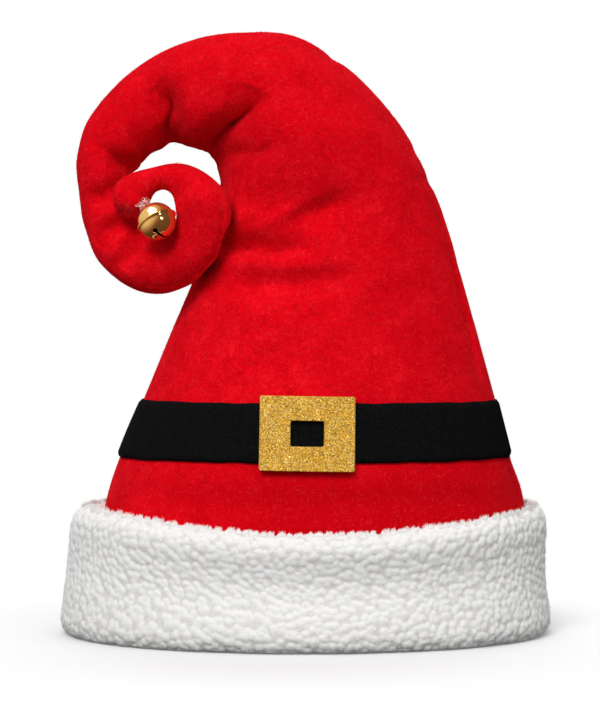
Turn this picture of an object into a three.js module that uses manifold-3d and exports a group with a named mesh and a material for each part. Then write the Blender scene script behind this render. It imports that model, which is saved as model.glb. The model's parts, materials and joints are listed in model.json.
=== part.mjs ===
// Santa hat: a padded red plush crown whose top curls over into a spiral, a white sherpa cuff that
// holds the crown's rim in a groove, a black felt belt with a gold glitter buckle, and a gold jingle
// bell tied to the tip.
//
// Millimetres, +Z up. The origin is the middle of the cuff on the surface that the hat rests on,
// +X is the hat's right side as seen from the front, and -Y is the front.

import * as THREE from 'three';
import { LoftGeometry } from 'three/addons/geometries/LoftGeometry.js';
import { mergeVertices } from 'three/addons/utils/BufferGeometryUtils.js';
import Module from 'manifold-3d';

const wasm = await Module();
wasm.setup();

// Reference box of the crown's outline, which the shares in CROWN_SECTIONS are taken from
const OUTLINE_WIDTH = 262;
const OUTLINE_HEIGHT = 321;
const OUTLINE_DEPTH = 188;

// Crown cloth, and the deepest crease pressed into it
const CROWN_WALL = 3;
const CREASE_WIDTH = 10;
const CREASE_DEPTH = 5;

// Gap kept between pieces that touch, and between the crown's cloth and what is laid round it
const CLEARANCE = 0.3;
const CLOTH_GAP = 0.6;

// Sherpa cuff: the leaf outside the crown and the hem inside it
const CUFF_HEIGHT = 68;
const CUFF_FRONT_DIP = 9;
const CUFF_THICKNESS = 16;
const HEM_HEIGHT = 24;
const HEM_THICKNESS = 5;

// Felt belt, above the strip of crown that shows over the cuff
const BELT_WIDTH = 30.8;
const BELT_THICKNESS = 1.6;
const CUFF_TO_BELT = 26.5;
const BELT_START_TURN = 12;
const BELT_END_TURN = 357;

// Glitter buckle
const BUCKLE_WIDTH = 49;
const BUCKLE_HEIGHT = 38;
const BUCKLE_THICKNESS = 2;
const BUCKLE_ROUND = 1.2;
const WINDOW_WIDTH = 17;
const WINDOW_HEIGHT = 13;
const WINDOW_ROUND = 1;
const BUCKLE_OFFSET = 0.8;
const BUCKLE_TILT = 0.8;

// Jingle bell: two pressed cups joined at a bead, with a loop on top, a slot across the bottom
// that ends in round holes, and a loose pellet inside
const BELL_DIAMETER = 20;
const BELL_WALL = 0.8;
const BEAD_SIZE = 1;
const SLOT_WIDTH = 1.4;
const SLOT_HOLE = 2.8;
const SLOT_REACH = 55;
const SLOT_TURN = 46;
const LOOP_DIAMETER = 4.4;
const LOOP_WIRE = 1.3;
const PELLET_DIAMETER = 6;
const BELL_UP = new THREE.Vector3(-0.45, 0.2, 0.87).normalize();

// The bell hangs in front of the spiral's middle, this far clear of the cloth
const BELL_GAP = 1.2;

// Clear thread that ties the bell's loop to the tip of the crown, at a station and turn there
const THREAD_DIAMETER = 1.5;
const THREAD_REACH = 4.2;
const TIE_STATION = 33.3;
const TIE_TURN = 132;
const TIE_SPREAD = 17;

// The crown is an ellipse at each section, from the rim up the body, over the arch, down and round
// the spiral to the tip. The inner edge is the side towards the curl's middle, and the outer edge
// the far side. X is a share of OUTLINE_WIDTH, Z of OUTLINE_HEIGHT, and half depth and forward
// offset of OUTLINE_DEPTH.
const CROWN_SECTIONS = [
  // innerX, innerZ, outerX, outerZ, depth, forward
  [-0.440, 0.027, 0.440, 0.027, 0.420, 0.000],
  [-0.412, 0.205, 0.449, 0.205, 0.404, 0.000],
  [-0.380, 0.292, 0.419, 0.292, 0.372, 0.000],
  [-0.331, 0.389, 0.388, 0.389, 0.338, 0.000],
  [-0.283, 0.484, 0.356, 0.484, 0.306, 0.000],
  [-0.237, 0.573, 0.324, 0.573, 0.279, 0.000],
  [-0.199, 0.656, 0.298, 0.656, 0.258, 0.000],
  [-0.182, 0.715, 0.273, 0.715, 0.245, 0.000],
  [-0.181, 0.751, 0.248, 0.765, 0.239, 0.000],
  [-0.191, 0.780, 0.212, 0.821, 0.234, 0.000],
  [-0.208, 0.793, 0.158, 0.883, 0.223, 0.000],
  [-0.227, 0.804, 0.080, 0.945, 0.210, 0.000],
  [-0.248, 0.808, -0.020, 0.992, 0.197, 0.000],
  [-0.271, 0.808, -0.130, 1.002, 0.181, 0.000],
  [-0.293, 0.803, -0.238, 0.986, 0.160, 0.000],
  [-0.314, 0.797, -0.328, 0.953, 0.138, 0.000],
  [-0.332, 0.778, -0.406, 0.897, 0.114, 0.010],
  [-0.351, 0.760, -0.451, 0.845, 0.101, 0.020],
  [-0.361, 0.736, -0.467, 0.785, 0.088, 0.032],
  [-0.350, 0.711, -0.461, 0.729, 0.077, 0.043],
  [-0.334, 0.692, -0.446, 0.676, 0.072, 0.053],
  [-0.318, 0.677, -0.417, 0.619, 0.072, 0.069],
  [-0.300, 0.668, -0.357, 0.578, 0.072, 0.092],
  [-0.282, 0.666, -0.283, 0.565, 0.072, 0.120],
  [-0.267, 0.673, -0.216, 0.585, 0.072, 0.149],
  [-0.258, 0.686, -0.171, 0.628, 0.072, 0.172],
  [-0.257, 0.700, -0.149, 0.680, 0.072, 0.186],
  [-0.258, 0.713, -0.152, 0.721, 0.072, 0.189],
  [-0.262, 0.725, -0.183, 0.752, 0.058, 0.187],
  [-0.271, 0.733, -0.224, 0.772, 0.047, 0.183],
  [-0.284, 0.736, -0.269, 0.780, 0.040, 0.177],
  [-0.298, 0.733, -0.311, 0.775, 0.039, 0.170],
  [-0.307, 0.726, -0.351, 0.763, 0.041, 0.163],
  [-0.313, 0.716, -0.379, 0.740, 0.043, 0.158],
  [-0.317, 0.705, -0.381, 0.713, 0.041, 0.156],
  [-0.328, 0.697, -0.368, 0.700, 0.025, 0.155],
];
const LAST_STATION = CROWN_SECTIONS.length - 1;

// Rings of the crown's mesh: around, along the outside, and along the inside up to where the
// hollow closes under the padding of the arch
const AROUND = 44;
const OUTER_STEPS = 62;
const HOLLOW_STEPS = 16;
const HOLLOW_STRAIGHT_END = 8;
const HOLLOW_END = 11;

// Creases as lines on the crown from one station and turn to another. Stations count the rows of
// CROWN_SECTIONS, turns are degrees from the outer edge over the front, and width and depth are
// shares of CREASE_WIDTH and CREASE_DEPTH.
const CREASES = [
  // fromStation, fromTurn, toStation, toTurn, width, depth
  [14.9, 68, 12.7, 188, 1.0, 0.9],
  [12.8, 184, 12.0, 250, 1.0, 0.6],
  [11.6, 86, 9.6, 188, 1.1, 1.2],
  [9.8, 186, 8.8, 260, 1.1, 0.8],
  [10.0, 98, 7.4, 190, 1.3, 0.7],
  [6.1, 112, 7.4, 76, 1.4, 0.6],
  [6.0, 165, 5.7, 94, 0.9, 0.9],
  [5.3, 155, 4.9, 80, 1.5, 0.6],
  [15.9, 195, 17.5, 100, 0.8, 0.6],
  [17.7, 160, 19.4, 56, 0.7, 0.6],
  [20.0, 145, 20.7, 40, 0.6, 0.6],
  [20.9, 140, 21.2, 75, 0.45, 0.4],
  [21.4, 150, 21.7, 50, 0.55, 0.6],
  [7.7, 8, 4.6, 16, 0.6, 0.6],
  [5.4, 14, 3.4, 20, 0.6, 0.7],
  [1.8, 14, 1.1, 11, 0.5, 0.4],
  [11.2, -30, 11.3, 50, 0.5, 0.35],
  [8.7, -35, 8.6, 40, 0.5, 0.35],
  [7.8, -30, 7.7, 45, 0.5, 0.4],
];

// Profile of the cuff, up the outside. Height is a share of the cuff's height there, and swell a
// share of CUFF_THICKNESS, less "squeeze" at the right edge and "valley" at the front and back.
const CUFF_OUTSIDE = [
  // height, swell, squeeze, valley
  [0.00, 0.70, 0.00, 0.00],
  [0.03, 0.86, 0.00, 0.00],
  [0.10, 0.97, 0.00, -0.02],
  [0.20, 1.00, 0.05, -0.02],
  [0.32, 1.00, 0.15, 0.06],
  [0.45, 0.98, 0.22, 0.17],
  [0.58, 0.97, 0.26, 0.20],
  [0.71, 0.98, 0.29, 0.12],
  [0.83, 1.00, 0.31, 0.02],
  [0.92, 0.95, 0.31, 0.00],
  [0.98, 0.74, 0.22, 0.00],
  [1.00, 0.45, 0.12, 0.00],
  [0.975, 0.20, 0.05, 0.00],
];

const crownPoints = (column, place) => CROWN_SECTIONS.map((row) => place(row[column], row[column + 1]));
const edgePlace = (x, z) => new THREE.Vector3(x * OUTLINE_WIDTH, 0, z * OUTLINE_HEIGHT);
const girthPlace = (depth, forward) => new THREE.Vector3(depth * OUTLINE_DEPTH, -forward * OUTLINE_DEPTH, 0);
const innerEdge = new THREE.CatmullRomCurve3(crownPoints(0, edgePlace), false, 'catmullrom');
const outerEdge = new THREE.CatmullRomCurve3(crownPoints(2, edgePlace), false, 'catmullrom');
const girth = new THREE.CatmullRomCurve3(crownPoints(4, girthPlace), false, 'catmullrom');

// The crown's smooth surface, without creases
function smoothPoint(station, turn) {
  const share = THREE.MathUtils.clamp(station / LAST_STATION, 0, 1);
  const inner = innerEdge.getPoint(share);
  const outer = outerEdge.getPoint(share);
  const around = girth.getPoint(share);
  const point = inner.clone().lerp(outer, 0.5 + 0.5 * Math.cos(turn));
  point.y = around.y - around.x * Math.sin(turn);
  return point;
}

function smoothNormal(station, turn) {
  const step = 0.02;
  const from = Math.max(station - step, 0);
  const to = Math.min(station + step, LAST_STATION);
  const along = smoothPoint(to, turn).sub(smoothPoint(from, turn));
  const around = smoothPoint(station, turn + step).sub(smoothPoint(station, turn - step));
  return along.cross(around).normalize();
}

// A crease's section: the valley's sharpness, and how far the cloth rises beside it
const CREASE_SAMPLES = 10;
const CREASE_SHARPNESS = 0.9;
const CREASE_RISE = 0.9;

const creases = CREASES.map(([fromStation, fromTurn, toStation, toTurn, width, depth]) => {
  const route = [];
  for (let index = 0; index <= CREASE_SAMPLES; index += 1) {
    const share = index / CREASE_SAMPLES;
    const station = THREE.MathUtils.lerp(fromStation, toStation, share);
    const turn = THREE.MathUtils.degToRad(THREE.MathUtils.lerp(fromTurn, toTurn, share));
    route.push({ share, point: smoothPoint(station, turn) });
  }
  return { route, width: width * CREASE_WIDTH, depth: depth * CREASE_DEPTH };
});

// How far the creases press the surface in at one point: a valley with a low ridge on each side,
// fading out towards both ends of the crease
function creaseDepth(point) {
  let total = 0;
  for (const { route, width, depth } of creases) {
    let nearest = Infinity;
    let share = 0;
    for (let index = 1; index < route.length; index += 1) {
      const before = route[index - 1];
      const after = route[index];
      const line = new THREE.Line3(before.point, after.point);
      const position = line.closestPointToPointParameter(point, true);
      const distance = line.at(position, new THREE.Vector3()).distanceTo(point);
      if (distance < nearest) {
        nearest = distance;
        share = THREE.MathUtils.lerp(before.share, after.share, position);
      }
    }
    const across = (nearest / width) ** 2;
    const fade = Math.sqrt(Math.max(0, Math.sin(Math.PI * share)));
    total += depth * fade * (1 - CREASE_RISE * across) * Math.exp(-CREASE_SHARPNESS * across);
  }
  return total;
}

// A point at a height of "lift" over the creased surface of the crown
function crownPoint(station, turn, lift = 0) {
  const point = smoothPoint(station, turn);
  const height = lift - creaseDepth(point);
  return point.addScaledVector(smoothNormal(station, turn), height);
}

// Level lines of the body, where each section is level
const RIM_HEIGHT = smoothPoint(0, 0).z;
const BODY_END_STATION = 7;
const HALVINGS = 30;

function stationAtHeight(height) {
  let low = 0;
  let high = BODY_END_STATION;
  for (let pass = 0; pass < HALVINGS; pass += 1) {
    const middle = (low + high) / 2;
    if (smoothPoint(middle, 0).z < height) {
      low = middle;
    } else {
      high = middle;
    }
  }
  return (low + high) / 2;
}

// A point over the body at a set height, lifted level
function levelPoint(height, turn, lift) {
  const station = stationAtHeight(height);
  const point = crownPoint(station, turn);
  const outward = smoothNormal(station, turn).setZ(0).normalize();
  point.addScaledVector(outward, lift);
  point.z = height;
  return point;
}

const turnAt = (index) => (2 * Math.PI * index) / AROUND;

function ring(place) {
  return Array.from({ length: AROUND }, (_, index) => place(turnAt(index)));
}

// One closed body with its faces pointing out, from any closed geometry
function closedBody(geometry) {
  const bare = new THREE.BufferGeometry();
  bare.setAttribute('position', geometry.getAttribute('position'));
  bare.setIndex(geometry.index);
  const merged = mergeVertices(bare);
  const position = merged.getAttribute('position');
  const corners = [];
  let volume = 0;
  for (let first = 0; first < merged.index.count; first += 3) {
    const triangle = [0, 1, 2].map((corner) => merged.index.getX(first + corner));
    if (new Set(triangle).size === 3) {
      const [a, b, c] = triangle.map((index) => new THREE.Vector3().fromBufferAttribute(position, index));
      volume += a.dot(b.cross(c));
      corners.push(triangle);
    }
  }
  if (volume < 0) {
    corners.forEach((triangle) => triangle.reverse());
  }
  merged.setIndex(corners.flat());
  return merged;
}

function toManifold(geometry) {
  const body = closedBody(geometry);
  const vertProperties = new Float32Array(body.getAttribute('position').array);
  const triVerts = new Uint32Array(body.index.array);
  return new wasm.Manifold(new wasm.Mesh({ numProp: 3, vertProperties, triVerts }));
}

function fromManifold(manifold) {
  const mesh = manifold.getMesh();
  const geometry = new THREE.BufferGeometry();
  geometry.setAttribute('position', new THREE.BufferAttribute(mesh.vertProperties, 3));
  geometry.setIndex(new THREE.BufferAttribute(mesh.triVerts, 1));
  return geometry;
}

const redPlush = new THREE.MeshStandardMaterial({ color: 0xc80f1a, roughness: 0.95, metalness: 0 });
const whiteSherpa = new THREE.MeshStandardMaterial({ color: 0xf1f0ef, roughness: 1, metalness: 0 });
const blackFelt = new THREE.MeshStandardMaterial({ color: 0x131313, roughness: 0.95, metalness: 0 });
const goldGlitter = new THREE.MeshStandardMaterial({ color: 0xc79a33, roughness: 0.4, metalness: 0.6 });
const goldMetal = new THREE.MeshStandardMaterial({ color: 0xe0ad3e, roughness: 0.15, metalness: 1 });
const clearNylon = new THREE.MeshStandardMaterial({ color: 0xf0d6d8, roughness: 0.2, metalness: 0 });

const hat = new THREE.Group();

function addPiece(name, geometry, material) {
  const body = closedBody(geometry);
  body.computeVertexNormals();
  const mesh = new THREE.Mesh(body, material);
  mesh.name = name;
  hat.add(mesh);
  return mesh;
}

// Crown: the hollow's dome, down the inside to the rim, then up the outside and round to the tip.
// The first and last ring are single points, which close the surface.
const DOME_TOP_SPREAD = 0.12;

function crownGeometry() {
  const sectionMiddle = (station) => smoothPoint(station, 0).lerp(smoothPoint(station, Math.PI), 0.5);
  const rings = [ring(() => sectionMiddle(HOLLOW_END))];
  for (let index = 0; index <= HOLLOW_STEPS; index += 1) {
    const station = HOLLOW_END * (1 - index / HOLLOW_STEPS);
    const past = Math.max(0, (station - HOLLOW_STRAIGHT_END) / (HOLLOW_END - HOLLOW_STRAIGHT_END));
    const spread = Math.max(DOME_TOP_SPREAD, Math.sqrt(1 - past * past));
    const middle = sectionMiddle(station);
    rings.push(ring((turn) => {
      const point = crownPoint(station, turn, -CROWN_WALL);
      point.z = Math.max(point.z, RIM_HEIGHT);
      return middle.clone().lerp(point, spread);
    }));
  }
  for (let index = 0; index <= OUTER_STEPS; index += 1) {
    const station = (LAST_STATION * index) / OUTER_STEPS;
    rings.push(ring((turn) => crownPoint(station, turn)));
  }
  rings.push(ring(() => sectionMiddle(LAST_STATION)));
  return new LoftGeometry(rings);
}

// Cuff: one folded band in section, with the groove for the crown's rim between leaf and hem. Each
// of them is rounded off from its shoulder up.
const LEAF_SHOULDER = 0.93;
const HEM_SHOULDER = 0.92;

function cuffSection(turn) {
  const front = Math.max(0, Math.sin(turn));
  const right = Math.max(0, Math.cos(turn));
  const height = CUFF_HEIGHT - CUFF_FRONT_DIP * front ** 3;
  const outside = CUFF_OUTSIDE.map(([rise, swell, squeeze, valley]) => {
    const share = swell - squeeze * right ** 2 - valley * Math.sin(turn) ** 2;
    return levelPoint(rise * height, turn, share * CUFF_THICKNESS);
  });
  const grooveFloor = RIM_HEIGHT - CLEARANCE;
  const hemOutside = -CROWN_WALL - CLOTH_GAP;
  const hemMiddle = hemOutside - HEM_THICKNESS / 2;
  const hemInside = hemOutside - HEM_THICKNESS;
  const inside = [
    levelPoint(LEAF_SHOULDER * height, turn, CLOTH_GAP),
    levelPoint(height / 2, turn, CLOTH_GAP),
    levelPoint(grooveFloor, turn, CLOTH_GAP),
    levelPoint(grooveFloor, turn, hemOutside),
    levelPoint(HEM_SHOULDER * HEM_HEIGHT, turn, hemOutside),
    levelPoint(HEM_HEIGHT, turn, hemMiddle),
    levelPoint(HEM_SHOULDER * HEM_HEIGHT, turn, hemInside),
    levelPoint(0, turn, hemInside),
  ];
  return [...outside, ...inside];
}

function cuffGeometry() {
  const sections = [];
  for (let index = 0; index < AROUND; index += 1) {
    sections.push(cuffSection(turnAt(index)));
  }
  sections.push(sections[0]);
  return new LoftGeometry(sections);
}

// Belt: a strip with cut ends, laid round the body from the right side over the front to the back
const BELT_MIDDLE = CUFF_HEIGHT + CUFF_TO_BELT + BELT_WIDTH / 2;
const BELT_ROWS = 3;
const LEAST_TURN = 0.02;

function beltSection(turn) {
  const inside = [];
  const outside = [];
  for (let row = 0; row <= BELT_ROWS; row += 1) {
    const height = BELT_MIDDLE + BELT_WIDTH * (row / BELT_ROWS - 0.5);
    inside.push(levelPoint(height, turn, CLOTH_GAP));
    outside.push(levelPoint(height, turn, CLOTH_GAP + BELT_THICKNESS));
  }
  return [...outside, ...inside.reverse()];
}

function beltGeometry() {
  const start = THREE.MathUtils.degToRad(BELT_START_TURN);
  const end = THREE.MathUtils.degToRad(BELT_END_TURN);
  const between = ring((turn) => turn).filter((turn) => turn > start + LEAST_TURN && turn < end - LEAST_TURN);
  const sections = [start, ...between, end].map(beltSection);
  return new LoftGeometry(sections, { capStart: true, capEnd: true });
}

// Buckle: a plate bent to the belt, trimmed to a rounded frame with a window
function roundedPrism(width, height, radius, length) {
  const shape = new THREE.Shape();
  const x = width / 2;
  const y = height / 2;
  shape.moveTo(-x + radius, -y);
  shape.lineTo(x - radius, -y);
  shape.absarc(x - radius, -y + radius, radius, -Math.PI / 2, 0);
  shape.lineTo(x, y - radius);
  shape.absarc(x - radius, y - radius, radius, 0, Math.PI / 2);
  shape.lineTo(-x + radius, y);
  shape.absarc(-x + radius, y - radius, radius, Math.PI / 2, Math.PI);
  shape.lineTo(-x, -y + radius);
  shape.absarc(-x + radius, -y + radius, radius, Math.PI, 1.5 * Math.PI);
  const prism = new THREE.ExtrudeGeometry(shape, { depth: length, bevelEnabled: false, curveSegments: 4 });
  prism.translate(0, 0, -length / 2);
  prism.rotateX(Math.PI / 2);
  prism.rotateY(THREE.MathUtils.degToRad(BUCKLE_TILT));
  prism.translate(BUCKLE_OFFSET, 0, BELT_MIDDLE);
  return prism;
}

// The front of the body at one place across and up, lifted level
function frontPoint(x, height, lift) {
  const station = stationAtHeight(height);
  const right = smoothPoint(station, 0).x;
  const left = smoothPoint(station, Math.PI).x;
  const cosine = THREE.MathUtils.clamp((2 * x - right - left) / (right - left), -1, 1);
  return levelPoint(height, Math.acos(cosine), lift);
}

function buckleGeometry() {
  const margin = 1.2;
  const columns = 10;
  const rows = 3;
  const plate = new THREE.BoxGeometry(BUCKLE_WIDTH * margin, 1, BUCKLE_HEIGHT * margin, columns, 1, rows);
  const position = plate.getAttribute('position');
  const inside = CLOTH_GAP + BELT_THICKNESS + CLEARANCE;
  for (let index = 0; index < position.count; index += 1) {
    const lift = position.getY(index) < 0 ? inside + BUCKLE_THICKNESS : inside;
    const place = frontPoint(BUCKLE_OFFSET + position.getX(index), BELT_MIDDLE + position.getZ(index), lift);
    position.setXYZ(index, place.x, place.y, place.z);
  }
  const outline = toManifold(roundedPrism(BUCKLE_WIDTH, BUCKLE_HEIGHT, BUCKLE_ROUND, OUTLINE_DEPTH));
  const window = toManifold(roundedPrism(WINDOW_WIDTH, WINDOW_HEIGHT, WINDOW_ROUND, OUTLINE_DEPTH));
  return fromManifold(toManifold(plate).intersect(outline).subtract(window));
}

// Bell, in its own frame: the ball's middle at the origin, the loop on +Z, threaded along X
const BELL_SIDES = 16;
const bellRadius = BELL_DIAMETER / 2;
const loopRadius = LOOP_DIAMETER / 2;
const loopHeight = bellRadius - BELL_WALL / 2 + loopRadius;

function bellGeometry() {
  const profile = [];
  const steps = 12;
  for (let index = 0; index <= steps; index += 1) {
    const angle = Math.PI * (index / steps - 0.5);
    profile.push(new THREE.Vector2(bellRadius * Math.cos(angle), bellRadius * Math.sin(angle)));
  }
  profile[0].x = 0;
  profile[steps].x = 0;
  const bead = [
    new THREE.Vector2(bellRadius - BELL_WALL / 2, -BEAD_SIZE),
    new THREE.Vector2(bellRadius + BEAD_SIZE, -BEAD_SIZE / 3),
    new THREE.Vector2(bellRadius + BEAD_SIZE, BEAD_SIZE / 3),
    new THREE.Vector2(bellRadius - BELL_WALL / 2, BEAD_SIZE),
  ];
  const ball = toManifold(new THREE.LatheGeometry(profile, BELL_SIDES).rotateX(Math.PI / 2));
  const collar = toManifold(new THREE.LatheGeometry([...bead, bead[0]], BELL_SIDES).rotateX(Math.PI / 2));
  const room = new THREE.SphereGeometry(bellRadius - BELL_WALL, BELL_SIDES, 10).rotateX(Math.PI / 2);
  const wire = new THREE.TorusGeometry(loopRadius, LOOP_WIRE / 2, 6, 12).rotateY(Math.PI / 2);
  wire.translate(0, 0, loopHeight);
  const shell = ball.add(collar).add(toManifold(wire)).subtract(toManifold(room));
  return fromManifold(shell.subtract(slotCutter()));
}

// The slot's straight cut across the bottom and the round hole at each end of it
function slotCutter() {
  const reach = THREE.MathUtils.degToRad(SLOT_REACH);
  const top = BELL_WALL - bellRadius * Math.cos(reach);
  const cut = new THREE.BoxGeometry(BELL_DIAMETER * Math.sin(reach), SLOT_WIDTH, BELL_DIAMETER);
  cut.translate(0, 0, top - bellRadius);
  let cutter = toManifold(cut.rotateZ(THREE.MathUtils.degToRad(SLOT_TURN)));
  for (const side of [-1, 1]) {
    const hole = new THREE.CylinderGeometry(SLOT_HOLE / 2, SLOT_HOLE / 2, bellRadius, 10);
    hole.rotateX(Math.PI / 2).translate(0, 0, -bellRadius);
    hole.rotateY(side * -reach).rotateZ(THREE.MathUtils.degToRad(SLOT_TURN));
    cutter = cutter.add(toManifold(hole));
  }
  return cutter;
}

// Where the bell hangs: below the tie, and forward until the ball and its bead clear the cloth
const tieTurn = THREE.MathUtils.degToRad(TIE_TURN);
const tieNormal = smoothNormal(TIE_STATION, tieTurn);
const bellCentre = crownPoint(TIE_STATION, tieTurn, CLEARANCE + THREAD_REACH)
  .addScaledVector(BELL_UP, -loopHeight);
const bellRoom = bellRadius + BEAD_SIZE + BELL_GAP;
const CURL_START_STATION = 14;
const STATION_STEP = 0.25;
for (let station = CURL_START_STATION; station <= LAST_STATION; station += STATION_STEP) {
  for (const point of ring((turn) => crownPoint(station, turn))) {
    const aside = Math.hypot(point.x - bellCentre.x, point.z - bellCentre.z);
    if (aside < bellRoom) {
      bellCentre.y = Math.min(bellCentre.y, point.y - Math.sqrt(bellRoom ** 2 - aside ** 2));
    }
  }
}
const loopCentre = bellCentre.clone().addScaledVector(BELL_UP, loopHeight);
const loopAxis = new THREE.Vector3().crossVectors(BELL_UP, tieNormal).normalize();

function placeBell(mesh) {
  const across = new THREE.Vector3().crossVectors(BELL_UP, loopAxis);
  mesh.quaternion.setFromRotationMatrix(new THREE.Matrix4().makeBasis(loopAxis, across, BELL_UP));
  mesh.position.copy(bellCentre);
}

// The pellet lies on the lowest point inside the bell
function placePellet(mesh) {
  const room = (bellRadius - BELL_WALL) * Math.cos(Math.PI / BELL_SIDES) ** 2;
  mesh.position.copy(bellCentre);
  mesh.position.z -= room - PELLET_DIAMETER / 2 - CLEARANCE;
}

// Thread: up from the tip, through the loop along its axis, and back down beside itself. Beside the
// loop's wire it lies a share of "leg" out along the axis, and a share of it back towards the tip.
const BEND_OUT = 1.1;
const BEND_BACK = 0.5;

function threadGeometry() {
  const leg = LOOP_WIRE / 2 + THREAD_DIAMETER / 2 + CLEARANCE;
  const towardsTip = tieNormal.clone().negate();
  const spread = THREE.MathUtils.degToRad(TIE_SPREAD);
  const above = (side, lift) => crownPoint(TIE_STATION, tieTurn + side * spread, lift);
  const ends = above(1, 0).sub(above(-1, 0)).dot(loopAxis) > 0 ? [-1, 1] : [1, -1];
  const foot = CLEARANCE + THREAD_DIAMETER / 6;
  const beside = (side) => loopCentre.clone()
    .addScaledVector(loopAxis, side * leg * BEND_OUT)
    .addScaledVector(towardsTip, leg * BEND_BACK);
  const path = new THREE.CatmullRomCurve3([
    above(ends[0], foot),
    above(ends[0], foot + THREAD_DIAMETER / 2),
    beside(-1),
    loopCentre.clone(),
    beside(1),
    above(ends[1], foot + THREAD_DIAMETER / 2),
    above(ends[1], foot),
  ]);
  const section = new THREE.Shape();
  section.absarc(0, 0, THREAD_DIAMETER / 2, 0, 2 * Math.PI);
  return new THREE.ExtrudeGeometry(section, { extrudePath: path, steps: 18, curveSegments: 3 });
}

addPiece('crown', crownGeometry(), redPlush);
addPiece('cuff', cuffGeometry(), whiteSherpa);
addPiece('belt', beltGeometry(), blackFelt);
addPiece('buckle', buckleGeometry(), goldGlitter);
placeBell(addPiece('bell', bellGeometry(), goldMetal));
placePellet(addPiece('bell_pellet', new THREE.SphereGeometry(PELLET_DIAMETER / 2, 12, 8), goldMetal));
addPiece('bell_tie', threadGeometry(), clearNylon);

export default hat;
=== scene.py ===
"""Santa hat, dressed: red plush crown with a curled top, sherpa cuff, felt belt, glitter buckle, bell.

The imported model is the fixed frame. Lengths in the tables and classes are millimetres, in the same
frame: +Z up, +X to the hat's right as seen from the front, -Y towards the front.
"""

from __future__ import annotations

import json
import logging
import math
from dataclasses import dataclass, replace
from enum import Enum
from typing import Protocol

import bmesh
import bpy
import numpy as np
from mathutils import Matrix, Vector
from mathutils.bvhtree import BVHTree

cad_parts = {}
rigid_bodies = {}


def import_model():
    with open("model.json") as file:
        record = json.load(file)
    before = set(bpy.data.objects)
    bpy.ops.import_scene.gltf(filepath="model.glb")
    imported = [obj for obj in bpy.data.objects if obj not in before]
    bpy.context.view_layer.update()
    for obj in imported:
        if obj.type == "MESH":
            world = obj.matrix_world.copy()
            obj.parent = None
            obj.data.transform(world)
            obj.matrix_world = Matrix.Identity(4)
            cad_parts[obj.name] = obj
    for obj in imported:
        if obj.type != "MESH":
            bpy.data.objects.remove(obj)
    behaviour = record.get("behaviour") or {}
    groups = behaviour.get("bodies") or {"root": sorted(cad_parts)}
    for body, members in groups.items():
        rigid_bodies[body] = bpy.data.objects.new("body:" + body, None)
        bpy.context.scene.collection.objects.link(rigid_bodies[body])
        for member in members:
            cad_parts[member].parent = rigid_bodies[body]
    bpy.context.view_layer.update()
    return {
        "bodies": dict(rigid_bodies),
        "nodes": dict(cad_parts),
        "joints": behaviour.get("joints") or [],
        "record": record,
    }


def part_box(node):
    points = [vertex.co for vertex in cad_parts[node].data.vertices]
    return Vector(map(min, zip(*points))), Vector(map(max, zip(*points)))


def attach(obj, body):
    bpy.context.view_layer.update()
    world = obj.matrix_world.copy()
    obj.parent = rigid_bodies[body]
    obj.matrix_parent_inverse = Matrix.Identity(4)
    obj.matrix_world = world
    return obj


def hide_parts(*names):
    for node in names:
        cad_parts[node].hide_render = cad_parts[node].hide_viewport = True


LOG = logging.getLogger("santa_hat")
MM = 0.001

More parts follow.
